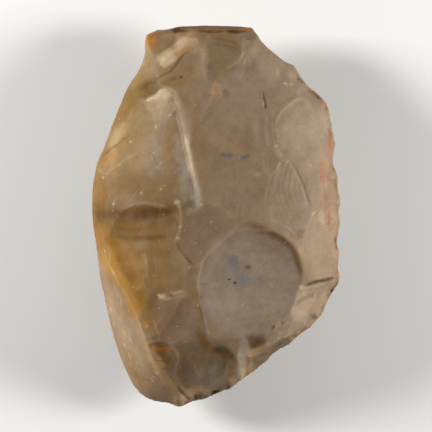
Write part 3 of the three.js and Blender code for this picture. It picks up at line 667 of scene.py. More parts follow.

# Streaks, among them painted highlights and painted shadows: colour, strength, line, half width and
# softness.
streaks = [
    ((0.215, 0.122, 0.034), 0.7, [(-26, 41), (-31, 33), (-34.6, 24), (-37, 14), (-38.4, 4), (-38.4, -4)],
     0.5, 2),
    # The next two strokes are partly the stone's own olive band and partly painted shade on the south-facing
    # slope of the dark fold.
    ((0.132, 0.07, 0.018), 0.85, [(-44, 3), (-34, 2), (-28, 1.8), (-22, 1.8), (-14, 2), (-4, 3.2)],
     0.8, 4.4),
    ((0.094, 0.042, 0.005), 0.8, [(-42, 1.4), (-34, 0.8), (-27, 0.7), (-20, 0.8), (-10, 1.4)], 0.4, 1.9),
    ((0.175, 0.092, 0.016), 0.6, [(-38, -2.6), (-30, -2.8), (-23, -2.8), (-13, -2.4)], 0.3, 1.5),
    # Partly olive colour and partly painted shade on the slope of the second fold.
    ((0.11, 0.056, 0.008), 0.6, [(-36, -5.8), (-27, -6.7), (-20, -6.8), (-12, -6.4)], 0.2, 1.2),
    ((0.195, 0.114, 0.034), 0.5, [(-35, -8.6), (-26, -9), (-18, -9), (-11, -8.6)], 0.3, 1.3),
    ((0.255, 0.118, 0.014), 0.95, [(-38.4, 0), (-36.4, -4.6), (-33.4, -10.4), (-30, -16), (-26.8, -22),
     (-24.2, -28), (-21.8, -35)], 1.6, 3.8),
    ((0.17, 0.068, 0.004), 0.85, [(-34.6, -4), (-33, -7), (-30.6, -12), (-28, -17), (-25, -23),
     (-22.6, -28)], 0.5, 2.8),
    ((0.32, 0.165, 0.028), 0.85, [(-36.8, -6.6), (-33.4, -13), (-30, -18.8), (-27, -24), (-24.6, -29),
     (-22.6, -34.4)], 0.9, 2),
    ((0.25, 0.13, 0.024), 0.6, [(-26, -24), (-23.6, -18), (-21.6, -11)], 0.5, 2.4),
    ((0.12, 0.068, 0.018), 0.55, [(-21.4, -33), (-20, -28), (-18, -23.4), (-14, -21)], 0.4, 2.2),
    ((0.36, 0.24, 0.12), 0.38, flankRidge, 0.05, 0.4),
    ((0.42, 0.262, 0.118), 0.9, [(-21.4, -36), (-19.8, -41), (-18, -45.6), (-15.4, -50.6), (-12.8, -55),
     (-11.6, -59.6)], 0.8, 1.9),
    ((0.3, 0.12, 0.012), 0.9, [(-20.4, -32.4), (-21.6, -32.6), (-22.3, -33.8), (-21.9, -35.2),
     (-20.6, -35.6)], 0.12, 0.45),
    ((0.38, 0.21, 0.06), 0.7, [(-21.2, -33), (-21.4, -34.6)], 0.2, 0.5),
    ((0.19, 0.105, 0.04), 0.75, [(-7.5, -20), (-6.4, -26), (-5, -31), (-3.9, -36), (-2, -40), (1.6, -42.8)],
     0.6, 1.8),
    ((0.15, 0.075, 0.02), 0.8, [(-5.2, -35), (-4.2, -38.4), (-1.6, -41), (0.8, -42.4)], 0.4, 1.6),
    # Painted highlight: the thin lit crest of the ridge along the round hollow's left rim, down to the foot.
    ((0.37, 0.27, 0.18), 0.75, [(3.4, -43.6), (0.3, -40.8), (-1.8, -38), (-2.7, -35), (-3.5, -31),
     (-4.5, -27), (-5.4, -22.5), (-5.2, -18.5), (-3.2, -12.5), (0, -9)], 0.1, 0.5),
    ((0.3, 0.19, 0.11), 0.55, [(-19.4, -31), (-18.4, -34), (-17.4, -37), (-18.2, -39.4)], 0.1, 0.6),
    ((0.215, 0.13, 0.068), 0.8, [(-10.4, 38), (-7.8, 27), (-5, 15), (-3.6, 3)], 0.8, 3),
    ((0.195, 0.135, 0.078), 0.85, [(-14.6, 39), (-12.4, 35.4), (-11.2, 31.6), (-10.2, 27.4), (-9.2, 23)],
     0.7, 2),
    # The next eight strokes are painted highlight, the light falling on the steep inner wall of the left
    # hollow.
    ((0.24, 0.172, 0.112), 0.85, [(-11.6, 27), (-10.4, 22), (-9.4, 17), (-8.8, 14)], 0.8, 2.6),
    ((0.215, 0.172, 0.116), 0.92, [(-10.4, 17), (-8.8, 12), (-7.8, 8), (-7.6, 3), (-8.2, -1)], 1.7, 3.2),
    ((0.27, 0.212, 0.145), 0.8, [(-9.4, 18), (-8.2, 13), (-7.2, 9), (-6.8, 5)], 0.7, 1.8),
    ((0.34, 0.275, 0.195), 0.85, [(-8, 15), (-7.5, 11.4), (-7, 8), (-6.8, 2)], 0.35, 0.9),
    ((0.3, 0.215, 0.128), 0.6, [(-13.4, 38), (-11.9, 34.4), (-11, 31), (-10.2, 28.4)], 0.1, 0.5),
    ((0.36, 0.27, 0.175), 0.75, [(-10.8, 30.6), (-9.8, 26.6), (-8.9, 22.4), (-8.2, 18)], 0.05, 0.45),
    ((0.44, 0.345, 0.23), 0.9, [(-9.6, 25.6), (-8.8, 22), (-8.1, 18.4), (-7.4, 15), (-6.9, 13)], 0.2, 0.6),
    ((0.4, 0.31, 0.21), 0.8, [(-7.7, 16), (-6.8, 12.6), (-6, 9.8), (-5.5, 6.4)], 0.05, 0.4),
    ((0.195, 0.15, 0.1), 0.5, [(-17, 32), (-18.4, 24), (-19, 17), (-18, 10)], 0.8, 3),
    # Painted shadow where the left hollow's wall meets its floor.
    ((0.105, 0.062, 0.02), 0.75, [(-12.4, 3), (-10, 2.8), (-8.2, 3.4), (-6.8, 5)], 0.4, 1.3),
    ((0.12, 0.065, 0.018), 0.6, [(-15.6, 40), (-12.2, 37.4), (-10.2, 33.6), (-9, 28)], 0.2, 0.9),
    ((0.11, 0.056, 0.01), 0.8, [(-25, 36.6), (-21, 38.2), (-18.6, 39.4), (-16.4, 40.4), (-13, 40)],
     0.4, 1.3),
    ((0.45, 0.355, 0.235), 0.85, [(-22.6, 35.4), (-20.4, 36.3), (-18.4, 37.2), (-17.6, 38.4), (-15.8, 38.9),
     (-14.4, 38.2)], 0.15, 0.6),
    ((0.43, 0.33, 0.21), 0.75, [(-19.4, 35.8), (-17, 37.2), (-14.6, 37.4)], 0.3, 1),
    ((0.24, 0.16, 0.085), 0.7, [(-21.8, 33.6), (-18.6, 34.2), (-16.4, 33.6)], 0.2, 0.6),
    ((0.38, 0.285, 0.18), 0.6, [(-18.8, 33.2), (-16.4, 34.6), (-14.6, 34.2)], 0.2, 0.6),
    ((0.12, 0.07, 0.026), 0.7, [(-36, 18.8), (-33.4, 20.8), (-30, 23), (-26, 25.8)], 0.1, 0.45),
    ((0.12, 0.075, 0.032), 0.65, [(-17.6, 14.4), (-18.6, 16.6), (-19.8, 18.8), (-21.6, 19.9)], 0.1, 0.5),
    ((0.31, 0.215, 0.115), 0.4, [(-22, 20), (-24.5, 19.4), (-27.5, 17.8), (-30.5, 16), (-33.5, 14),
     (-36.6, 12.2)], 0.1, 0.55),
    ((0.3, 0.205, 0.1), 0.5, [(-37.4, 15), (-35.4, 13.4), (-36, 12)], 0.3, 0.6),
    ((0.33, 0.22, 0.115), 0.85, [(-20.4, 46.6), (-17, 49), (-14.4, 50.6), (-11, 53.2), (-8.6, 56),
     # The next six strokes are partly the ridge's own cream colour and partly painted highlight on its lit
     # west-facing wall.
     (-5.8, 58.2)], 0.8, 2.4),
    ((0.41, 0.292, 0.172), 0.85, [(-19, 48.7), (-16, 50.2), (-13, 52.2)], 0.6, 1),
    ((0.43, 0.318, 0.198), 0.85, [(-18, 48.4), (-15.6, 48), (-12.4, 49.8)], 0.8, 1),
    ((0.41, 0.3, 0.184), 0.8, [(-17, 46.2), (-14.4, 47.6), (-12.4, 50.4)], 0.5, 0.9),
    ((0.44, 0.328, 0.205), 0.85, [(-13.6, 52.4), (-10.6, 54.6), (-7.6, 57.2)], 0.4, 0.7),
    ((0.41, 0.295, 0.178), 0.8, [(-12.6, 52.6), (-8.6, 54), (-4.6, 54.6)], 0.8, 0.9),
    ((0.3, 0.205, 0.105), 0.6, [(-13.6, 55.8), (-15.4, 57), (-18, 57.4)], 0.6, 1.4),
    ((0.13, 0.08, 0.028), 0.6, [(-19.4, 49.6), (-16.4, 51.8), (-13.6, 54), (-12.6, 56.8)], 0.2, 1),
    ((0.39, 0.245, 0.135), 0.8, [(-15, 50), (-11.6, 51.8), (-8, 53.4), (-4.4, 53.4)], 0.4, 1.2),
    ((0.38, 0.19, 0.07), 0.8, [(-12.6, 49), (-10.6, 50.6), (-8.8, 51.8), (-7, 52)], 0.2, 0.9),
    ((0.3, 0.205, 0.11), 0.8, [(-8, 50), (-6, 51.4), (-4.2, 51.8), (-3.4, 49), (-3.4, 46)], 0.6, 1.3),
    ((0.14, 0.078, 0.022), 0.75, [(-7.6, 52.6), (-9.6, 50.6), (-11.4, 48.4), (-12.8, 46), (-15.6, 44),
     (-19, 42.6), (-24, 41.6)], 0.1, 0.5),
    ((0.16, 0.092, 0.028), 0.6, [(-10.6, 43.4), (-13.6, 42), (-17.6, 40.8), (-22, 40.2)], 0.2, 0.9),
    ((0.25, 0.15, 0.045), 0.7, [(-27, 39), (-24.6, 43.4), (-22.4, 47), (-21, 51)], 0.5, 1.6),
    ((0.31, 0.205, 0.1), 0.7, [(-23.5, 46), (-22.4, 52), (-21.9, 55.4)], 0.3, 0.9),
    ((0.36, 0.14, 0.03), 0.85, [(-22, 52.4), (-21.4, 55.4), (-19.8, 57.4), (-16.8, 58.4)], 0.7, 1.6),
    ((0.19, 0.105, 0.03), 0.7, [(-14.5, 57.6), (-10, 56.8), (-4, 56.2), (2, 56.6), (7, 56.2)], 0.3, 1.3),
    ((0.11, 0.062, 0.024), 0.45, [(-2, 55.4), (3, 54.8), (7.6, 53.4)], 0.1, 0.6),
    ((0.11, 0.062, 0.024), 0.45, [(-1.6, 53.8), (3, 53.2), (7.6, 51.6)], 0.1, 0.6),
    ((0.3, 0.215, 0.132), 0.5, [(8.6, 57), (8.6, 53.4), (8, 50), (5.6, 47.2), (2, 44.8)], 0.2, 0.8),
    ((0.37, 0.28, 0.18), 0.7, [(8.6, 51.4), (8.2, 50), (7.2, 48.8)], 0.2, 0.6),
    ((0.14, 0.06, 0.012), 0.9, [(-16, 58.6), (-4, 59), (3, 59), (13, 58.4)], 0.9, 0.9),
    # The next three strokes are painted shadow, at the butt's top left and along the lower edge of its
    # break.
    ((0.04, 0.02, 0.008), 0.9, [(-14, 57.8), (-12, 58.2), (-9, 58.8)], 0.4, 0.8),
    ((0.045, 0.022, 0.01), 0.8, [(-6, 57.6), (-1.5, 57.4), (3, 57.6)], 0.15, 0.5),
    ((0.05, 0.022, 0.01), 0.85, [(2.6, 58), (6, 57.6), (10.4, 58)], 0.3, 0.6),
    ((0.34, 0.15, 0.04), 0.8, [(-4.6, 58.6), (-1, 59), (3.6, 59.4)], 0.3, 0.6),
    ((0.33, 0.12, 0.035), 0.8, [(7.6, 58.2), (9.4, 58.4), (11.4, 58.2)], 0.3, 0.6),
    ((0.32, 0.175, 0.11), 0.7, [(28, 41.4), (32, 37.6), (36, 33.4)], 0.7, 1.2),
    ((0.12, 0.04, 0.02), 0.8, [(29.6, 39.6), (32, 37.3), (34.6, 35.4)], 0.2, 0.6),
    ((0.3, 0.185, 0.115), 0.5, [(36, 34), (36.2, 25), (36.2, 20), (37.2, 11), (37.4, 3), (37.2, -3),
     (37.4, -12), (37.4, -23)], 0.5, 1.5),
    ((0.34, 0.2, 0.125), 0.6, [(33, 20), (34, 13.5), (33.4, 7)], 0.5, 1.6),
    ((0.35, 0.15, 0.07), 0.8, [(32.6, 17.4), (33.1, 13.4), (33.5, 9.2)], 0.4, 0.8),
    ((0.35, 0.17, 0.088), 0.75, [(35.6, 28), (35.6, 24), (35.2, 19.6)], 0.3, 0.8),
    ((0.3, 0.13, 0.066), 0.65, [(34.4, 4.6), (34.8, 1.4), (35.4, -2), (35.8, -6)], 0.3, 0.8),
    ((0.33, 0.185, 0.11), 0.55, [(33, 38), (34.4, 34.6), (34.6, 31)], 0.6, 1.4),
    ((0.27, 0.11, 0.055), 0.6, [(37.6, -6), (37.4, -9)], 0.3, 0.8),
    ((0.3, 0.13, 0.06), 0.7, [(33.6, 10), (34, 5), (33.8, 1)], 0.1, 0.6),
    ((0.4, 0.265, 0.18), 0.6, [(32.2, 2.4), (33.4, -3)], 0.2, 0.9),
    ((0.25, 0.095, 0.042), 0.8, [(35.2, 2.4), (35.3, -3.4)], 0.05, 0.4),
    ((0.25, 0.095, 0.042), 0.75, [(34, -0.4), (36.8, -0.6)], 0.05, 0.3),
    ((0.25, 0.095, 0.042), 0.75, [(34.2, -2.4), (36.8, -2.6)], 0.05, 0.3),
    ((0.28, 0.115, 0.055), 0.75, [(35.2, 28), (35.5, 23.6), (35.2, 20)], 0.05, 0.5),
    ((0.32, 0.19, 0.115), 0.5, [(31.8, 5.6), (34.6, 2.4), (37.4, 1.2)], 0.3, 1.4),
    ((0.36, 0.255, 0.155), 0.75, [(18.2, 22.4), (18.8, 20), (19.8, 17.6)], 0.3, 0.9),
    ((0.34, 0.24, 0.15), 0.65, [(12.8, 13.6), (13, 12)], 0.4, 0.8),
    ((0.3, 0.215, 0.14), 0.6, [(21.2, 17.8), (18.8, 14.8), (16.6, 11.6), (15.4, 6.6), (15.2, 1)], 0.1, 0.6),
    ((0.31, 0.225, 0.15), 0.6, [(21.6, 17.6), (24.4, 13.4), (26.4, 9), (27.8, 4.4), (28.6, 0)], 0.1, 0.6),
    ((0.13, 0.086, 0.05), 0.65, [(32.4, 2.6), (30.6, 0.2), (28.2, -3), (25.8, -6.8)], 0.05, 0.35),
    ((0.18, 0.134, 0.092), 0.5, [(14.4, 32), (14.2, 27), (15, 20)], 0.15, 0.6),
    ((0.18, 0.134, 0.092), 0.5, [(16.6, 32), (16.6, 26), (17.4, 21)], 0.15, 0.6),
    ((0.29, 0.22, 0.152), 0.45, [(15.6, 32), (15.4, 26), (16.2, 20)], 0.15, 0.6),
    ((0.29, 0.22, 0.152), 0.4, [(12.8, 31), (12.4, 26), (13, 20)], 0.2, 0.8),
    # Painted shade: the dark arc along the round hollow's north-east wall.
    ((0.155, 0.094, 0.046), 0.8, [(5, -3.4), (9, -2.9), (12.5, -3), (17, -4.9), (21, -7.2), (23.6, -9.9),
     (25.4, -14), (26.4, -20.6)], 0.5, 1.6),
    ((0.3, 0.19, 0.095), 0.6, [(20, -5), (23.6, -7.6), (25.4, -10.6), (26.8, -14.6)], 0.1, 0.8),
    # Painted shadow: the dark line under the step of the right crack.
    ((0.07, 0.04, 0.014), 0.8, [(26.6, -21.6), (29, -21), (31.4, -20.2), (33.6, -19.9), (37.6, -19)],
     0.2, 0.55),
    ((0.28, 0.11, 0.065), 0.75, [(35, -19.4), (37.6, -18.4), (38.6, -16)], 0.2, 0.8),
    ((0.15, 0.1, 0.05), 0.65, [(24, -28), (25.6, -26.4), (28, -25.2), (31.6, -24.2)], 0.2, 1),
    ((0.11, 0.074, 0.034), 0.85, [(11, -49.4), (14, -45.6), (17.6, -41.8), (21.6, -39.2), (26, -37.4)],
     0.5, 1.7),
    ((0.12, 0.07, 0.035), 0.6, [(-8, -58.6), (-2, -56), (3, -53.8), (7.4, -51.4)], 0.3, 1.2),
    ((0.29, 0.15, 0.09), 0.6, [(24, -38), (28, -35.4), (31.6, -33)], 0.2, 0.8),
    ((0.085, 0.04, 0.01), 0.88, [(-2, -40), (2.4, -42), (4.6, -44.6), (5.4, -48), (5.4, -53)], 0.6, 2),
    ((0.44, 0.335, 0.215), 0.85, [(7.8, -53), (8, -48), (7.8, -44), (8.4, -39.6)], 0.5, 1.1),
    ((0.25, 0.105, 0.03), 0.7, [(9.6, -42.6), (10.2, -44.6), (9.4, -47.6)], 0.2, 0.6),
    ((0.12, 0.075, 0.038), 0.55, [(6.8, -38.8), (9.5, -38.2), (11.4, -38.4)], 0.1, 0.4),
    ((0.3, 0.21, 0.128), 0.6, [(-16.8, -38.2), (-14, -39.4), (-12.6, -41.4), (-11.9, -44), (-12.3, -47),
     (-13, -51)], 0.1, 0.45),
    ((0.34, 0.2, 0.095), 0.7, [(-13.4, -49), (-11.4, -52.6), (-8.6, -56.6)], 0.1, 0.6),
    ((0.06, 0.03, 0.012), 0.8, [(-12.4, -52.4), (-10.4, -55.4), (-8.2, -58.4)], 0.15, 0.45),
    ((0.3, 0.2, 0.12), 0.6, [(-7.4, -45), (-6.4, -47.6), (-5, -50.8)], 0.1, 0.5),
    ((0.25, 0.13, 0.045), 0.6, [(-9.6, -44.6), (-8.6, -43), (-7.6, -41.4)], 0.1, 0.7),
    ((0.35, 0.225, 0.09), 0.7, [(0.2, 42), (-0.9, 38.6), (-0.8, 36)], 0.15, 0.6),
    ((0.35, 0.225, 0.09), 0.6, [(0.1, 41.8), (1.2, 38.8), (1.6, 35.8)], 0.15, 0.6),
    ((0.3, 0.175, 0.065), 0.65, [(0.2, 40.4), (0.3, 38), (0.4, 35.6)], 0.3, 0.6),
    ((0.12, 0.072, 0.04), 0.5, [(2.2, 39), (3.4, 37.4), (3, 35.6)], 0.4, 1.2),
    ((0.15, 0.062, 0.034), 0.85, [(14.1, 39.2), (14.5, 37.4), (15, 35)], 0.02, 0.3),
    ((0.14, 0.05, 0.026), 0.9, [(14.7, 36.8), (15.1, 34.8), (15.3, 32.4)], 0.1, 0.5),
    ((0.34, 0.21, 0.15), 0.75, [(14.2, 36), (14.4, 34.6), (14.6, 33)], 0.15, 0.5),
    ((0.085, 0.045, 0.02), 0.75, [(-12.2, -7.8), (-10.4, -11.2), (-7.8, -14.2), (-6.4, -15.6)], 0.15, 0.5),
    ((0.32, 0.23, 0.135), 0.75, [(-12.8, 6), (-11.6, 4.4), (-10.8, 1.4), (-10.9, -3), (-11.8, -6.6),
     (-12.6, -9.4)], 0.15, 0.6),
    ((0.29, 0.205, 0.13), 0.5, [(-0.6, 37.6), (-3, 33), (-5.6, 27.6)], 0.15, 0.8),
    ((0.34, 0.245, 0.16), 0.55, [(32.6, 3.6), (30.5, 0.6), (28.4, -2.7), (25.6, -6.8)], 0.15, 0.6),
    ((0.34, 0.245, 0.16), 0.5, [(16, -1), (19.5, -2.2), (22.6, -4), (25.4, -7.6)], 0.15, 0.6),
    ((0.36, 0.22, 0.125), 0.65, [(25.2, -8.6), (26.2, -12), (27.4, -17.5)], 0.4, 1.3),
    ((0.165, 0.118, 0.075), 0.55, [(29, 38.2), (24, 36.4), (20.6, 33.6), (18.2, 30.4), (17.8, 27)],
     0.1, 1.1),
    ((0.09, 0.044, 0.01), 0.6, [(-19.4, -44.4), (-16.6, -44.8), (-13.6, -44.6)], 0.05, 0.35),
    ((0.4, 0.3, 0.19), 0.75, [(-17.6, -23.8), (-16.8, -25.2), (-15.2, -25.4), (-13.6, -24.2)], 0.15, 0.6),
    ((0.33, 0.24, 0.15), 0.55, [(-14.4, -23.2), (-12, -23.4), (-9.2, -22.6)], 0.1, 0.6),
    ((0.3, 0.2, 0.1), 0.5, [(-22.8, -9.6), (-21.6, -14), (-20.9, -20.6)], 0.1, 0.6),
    ((0.29, 0.195, 0.1), 0.35, [(-19.2, -11), (-18.4, -16), (-18.2, -21.6)], 0.1, 0.5),
    # Painted shade, again along the round hollow's north-east wall.
    ((0.105, 0.06, 0.028), 0.62, [(7, -2.8), (12.5, -3.3), (17, -5.2), (21, -7.9), (23.4, -10.8),
     (25.2, -14.8), (26.2, -21.6)], 0.3, 1),
    ((0.34, 0.22, 0.12), 0.6, [(18, -4.6), (22, -7.2), (24.8, -10.2), (26.6, -15), (27.3, -20)], 0.05, 0.5),
    # Painted shadow under the step of the right crack, a little wider.
    ((0.08, 0.048, 0.02), 0.85, [(27, -21.5), (29.5, -20.8), (31.6, -20.1), (34, -19.9), (38, -18.9)],
     0.2, 0.8),
    ((0.4, 0.305, 0.205), 0.7, [(24.4, -22), (27, -22), (31, -21.6), (35, -20.9)], 0.2, 0.6),
    ((0.31, 0.222, 0.136), 0.7, [(15.8, -41), (18.2, -38.4), (21, -36.8), (24.8, -35.4)], 0.6, 1.6),
    ((0.29, 0.232, 0.175), 0.8, [(8.6, -46), (8.2, -41), (9.2, -36.8)], 0.5, 1.4),
    ((0.07, 0.078, 0.105), 0.7, [(0.7, 19), (3.4, 18.4), (5.9, 18.3)], 0.3, 0.55),
    ((0.07, 0.078, 0.105), 0.7, [(6.6, 17.4), (8.6, 17.8), (10.8, 18.6)], 0.3, 0.55),
]

# Pale flecks: place, size and turn of each.
flecks = [
    ((-23.4, -33.4), (0.4, 1.6), 20), ((-30.6, -44.6), (0.4, 1.4), 24), ((-24.6, -46), (0.35, 1.2), 28),
    ((-18.5, 27.5), (0.9, 0.9), 0), ((-26.5, 23), (1.1, 0.9), 0), ((-23, 7), (0.9, 0.9), 0),
    ((-16.8, 8.3), (0.9, 0.8), 0), ((-31.8, 3.8), (0.9, 0.9), 0), ((-12, 4.2), (2.2, 1.4), 0),
    ((-14, 31), (0.9, 0.7), 0), ((-30, 15.8), (0.8, 0.5), 0), ((-11, -3.3), (1, 0.9), 0),
    ((-11.7, -6.6), (1.3, 1), 0), ((-1.2, -2), (0.8, 0.6), 0), ((-4.5, 3.5), (1, 0.6), 0),
    ((23.3, 41.3), (1, 0.8), 0), ((21.4, 41.2), (1.7, 0.8), 0), ((28.8, 15.8), (1, 0.6), 0),
    ((26, -21.6), (1.6, 0.7), 0), ((29.9, 0.6), (1.6, 0.7), 0), ((-35.4, 12.1), (1, 0.6), 0),
    ((19.4, -38), (1.2, 0.6), 20), ((22, -37.6), (1.3, 0.5), 25), ((30.8, -24.4), (1, 0.6), 0),
    ((29.4, -27.8), (0.9, 0.5), 0), ((10.4, -43.6), (1.4, 0.6), -10), ((11, -46.2), (1.2, 0.5), 30),
    ((-17.2, 38.4), (1.6, 0.6), 20), ((-20, 36.6), (1.6, 0.5), 25), ((-34.8, -11), (0.5, 2), 25),
    ((-32, -17.2), (0.5, 2.2), 32), ((-33.2, -29.4), (0.6, 2.2), 8), ((-32.2, -34), (0.4, 2.4), 14),
    ((-28.8, -36.6), (0.45, 3), 26), ((-26.6, -38.6), (0.4, 1.6), 30), ((-28.8, -40.6), (0.4, 1.6), 18),
    ((-27.2, -43.8), (0.45, 2.4), 24), ((-18.6, -48.8), (0.7, 1.8), 24), ((-20, -51.2), (0.5, 2.4), 34),
    ((-19.4, -50.4), (0.4, 1.8), 34), ((-17.6, -24.2), (0.9, 0.7), 0), ((-8.2, -15.8), (1, 0.6), 30),
    ((21.8, 16.8), (1.6, 0.5), -40), ((28.2, 16.4), (0.8, 0.5), 0), ((29.4, 15.4), (0.6, 0.8), 0),
    ((18.6, 21.6), (0.9, 0.6), 0),
]

# The stone's plain tones, how the tables above are laid on, and the fine marks that come from seeds.
paintwork = handAxe["paint"] = {
    "upper": (0.222, 0.15, 0.084), "flank": (0.276, 0.18, 0.098), "lower": (0.215, 0.145, 0.083),
    # ridge is a painted highlight laid on raised points, hollow a painted shade laid in low ones
    "butt": (0.15, 0.065, 0.017), "ridge": (0.42, 0.3, 0.18), "hollow": (0.13, 0.07, 0.03),
    "seed": 23,
    "drift": [(1.1, 6, 0), (0.45, 2, 0)],             # how far stains and streaks wander
    "fineDrift": [(0.22, 1.8, 0)],                    # the same for small ones
    "smallPatch": 3, "smallStreak": 2,                # what counts as small
    "streakTaper": 0.2, "streakEnd": 0.3,             # ends of a streak: how long, and how narrow
    "streakStrength": (0.86, [(0.2, 1.6, 47)]),
    "upperMottle": [(0.09, 5, 0), (0.07, 1.9, 70), (0.05, 0.9, 90)],
    "lowerMottle": [(0.16, 9, 11), (0.08, 3, 0)],
    "buttDepth": (0.8, 0.1), "buttFacing": (0.3, 0.7),  # how near the butt's plane, how squarely facing +Y
    "buttStrength": 0.8, "buttMottle": (0.75, [(0.25, 4, 0)]),
    "paintedLightRounds": 6,                                  # how wide a neighbourhood the painted highlight on ridges and the painted shade in hollows are judged by
    "ridgeWash": (0.25, (0.05, 0.2)),                 # painted highlight on raised points: strength, and how far a point stands out
    "hollowWash": (0.22, (0.05, 0.22)),               # painted shade in low points: the same for how deep it lies
    "seam": (-0.8, 0.6),                              # where the upper face's paint stops at the edge
    "dullPatch": ((-17.5, 36.5), (12, 6), -6), "dullRim": (1.2, 0.4),    # the crushed head is duller
    "dullButt": 0.5, "dullLower": 0.35, "dullMottle": [(0.15, 4, 0)],
    # hair-thin lines, pale or dark, mostly running along the stone
    "hairlines": {"seed": 21, "count": 130, "x": (-35, 37), "y": (-54, 56), "length": (2.5, 9),
                  "heading": (78, 24), "width": (0.38, 0.05), "bow": (-0.02, 0.02), "fade": 0.4,
                  "pale": (0.33, 0.245, 0.155), "dark": (0.1, 0.06, 0.028), "paleShare": 0.55,
                  "strength": (0.08, 0.26)},
    "flecks": {"seed": 8, "count": 60, "x": (-36, 36), "y": (-56, 56), "size": (0.25, 0.45),
               "slimness": (0.6, 1), "tone": (0.5, 0.41, 0.29), "strength": 0.55, "rim": (1.3, 0.25)},
}


def washOver(colours, tint, strength, mask):
    share = (strength * mask)[:, None]
    return colours * (1 - share) + np.array(tint) * share


def raisedness(piece, points, normals, rounds):
    # how far each point stands out from the points round it
    ends = np.zeros(len(piece.data.edges) * 2, int)
    piece.data.edges.foreach_get("vertices", ends)
    a, b = ends.reshape(-1, 2).T
    count = np.bincount(a, minlength=len(points)) + np.bincount(b, minlength=len(points))
    even = points.copy()
    for _ in range(rounds):
        total = [np.bincount(a, even[b, axis], len(points)) + np.bincount(b, even[a, axis], len(points))
                 for axis in range(3)]
        even = np.stack(total, 1) / count[:, None]
    return ((points - even) * normals).sum(1)


def softEdge(softness):
    # where a stain begins and where it is full, 1 being its drawn edge
    return 1 + softness / 2, 1 - softness


def addHairlines(colours, x, y, upperShare):
    lines = paintwork["hairlines"]
    dice = np.random.default_rng(lines["seed"])
    for _ in range(lines["count"]):
        dx, dy = x - dice.uniform(*lines["x"]), y - dice.uniform(*lines["y"])
        heading, half = math.radians(dice.normal(*lines["heading"])), dice.uniform(*lines["length"]) / 2
        u = dx * math.cos(heading) + dy * math.sin(heading)
        v = dy * math.cos(heading) - dx * math.sin(heading) + dice.uniform(*lines["bow"]) * u * u
        mask = smoothStep(*lines["width"], np.abs(v)) * smoothStep(half, lines["fade"] * half, np.abs(u))
        tint = lines["pale"] if dice.uniform() < lines["paleShare"] else lines["dark"]
        colours = washOver(colours, tint, dice.uniform(*lines["strength"]), mask * upperShare)
    return colours


def addFlecks(colours, x, y, upperShare):
    scattered = paintwork["flecks"]
    dice = np.random.default_rng(scattered["seed"])
    marks = list(flecks)
    for _ in range(scattered["count"]):
        spot = (dice.uniform(*scattered["x"]), dice.uniform(*scattered["y"]))
        size = dice.uniform(*scattered["size"])
        marks.append((spot, (size, size * dice.uniform(*scattered["slimness"])), dice.uniform(0, 180)))
    for at, size, turn in marks:
        mask = upperShare * smoothStep(*scattered["rim"], outOfPatch(x, y, at, size, turn))
        colours = washOver(colours, scattered["tone"], scattered["strength"], mask)
    return colours


def paint(points, normals, owner, upperShare):
    mottle = Grain(paintwork["seed"])
    x, y, z = points.T
    wideX = x + mottle.layered(points, paintwork["drift"])
    wideY = y + mottle.layered(points, paintwork["drift"], 31)
    fineX = x + mottle.layered(points, paintwork["fineDrift"], 61)
    fineY = y + mottle.layered(points, paintwork["fineDrift"], 83)
    base, layers = paintwork["streakStrength"]
    broken = base + mottle.layered(points, layers)

    colours = np.tile(np.array(paintwork["upper"]), (len(x), 1))
    for tint, strength, at, size, turn, softness in stainsAndShade:
        small = min(size) <= paintwork["smallPatch"]
        atX, atY = (fineX, fineY) if small else (wideX, wideY)
        out = outOfPatch(atX, atY, at, size, turn)
        colours = washOver(colours, tint, strength, smoothStep(*softEdge(softness), out))
    flank = np.tile(np.array(paintwork["flank"]), (len(x), 1))
    for tint, strength, at, size, turn, softness in flankStains:
        out = outOfPatch(wideX, wideY, at, size, turn)
        flank = washOver(flank, tint, strength, smoothStep(*softEdge(softness), out))
    colours = np.where((owner == facetMark)[:, None], flank, colours)

    for tint, strength, line, width, softness in streaks:
        small = width + softness <= paintwork["smallStreak"]
        atX, atY = (fineX, fineY) if small else (wideX, wideY)
        gap, share = alongLine(atX, atY, line, 2 + width + softness)
        ends = endTaper(share, paintwork["streakTaper"])
        spread = np.abs(gap) / (paintwork["streakEnd"] + (1 - paintwork["streakEnd"]) * ends)
        mask = ends * broken * smoothStep(width + softness, width, spread)
        colours = washOver(colours, tint, strength, mask)

    shade = 1 + mottle.layered(points, paintwork["upperMottle"])
    lower = np.array(paintwork["lower"]) * (1 + mottle.layered(points, paintwork["lowerMottle"]))[:, None]
    colours = colours * shade[:, None] * upperShare[:, None] + lower * (1 - upperShare[:, None])
    onButt = smoothStep(*paintwork["buttDepth"], np.abs(y - buttPlane(z)))
    onButt = onButt * smoothStep(*paintwork["buttFacing"], normals[:, 1])
    base, layers = paintwork["buttMottle"]
    colours = washOver(colours, paintwork["butt"], paintwork["buttStrength"],
                       onButt * (base + mottle.layered(points, layers)))
    # painted highlight on the crests and painted shade in the hollows, by how far each point stands out
    raised = raisedness(flint, points, normals, paintwork["paintedLightRounds"])
    for tone, way in (("ridge", 1), ("hollow", -1)):
        strength, span = paintwork[tone + "Wash"]
        colours = washOver(colours, paintwork[tone], strength, smoothStep(*span, way * raised))
    colours = addFlecks(addHairlines(colours, x, y, upperShare), x, y, upperShare)

    dull = smoothStep(*paintwork["dullRim"], outOfPatch(wideX, wideY, *paintwork["dullPatch"]))
    dull = dull + paintwork["dullButt"] * onButt + paintwork["dullLower"] * (1 - upperShare)
    return colours, np.clip(dull + mottle.layered(points, paintwork["dullMottle"]), 0, 1)


def storeOnPoints(piece, name, kind, field, values):
    layer = piece.data.attributes.new(name, kind, "POINT")
    layer.data.foreach_set(field, np.ascontiguousarray(values, dtype=np.float32).ravel())


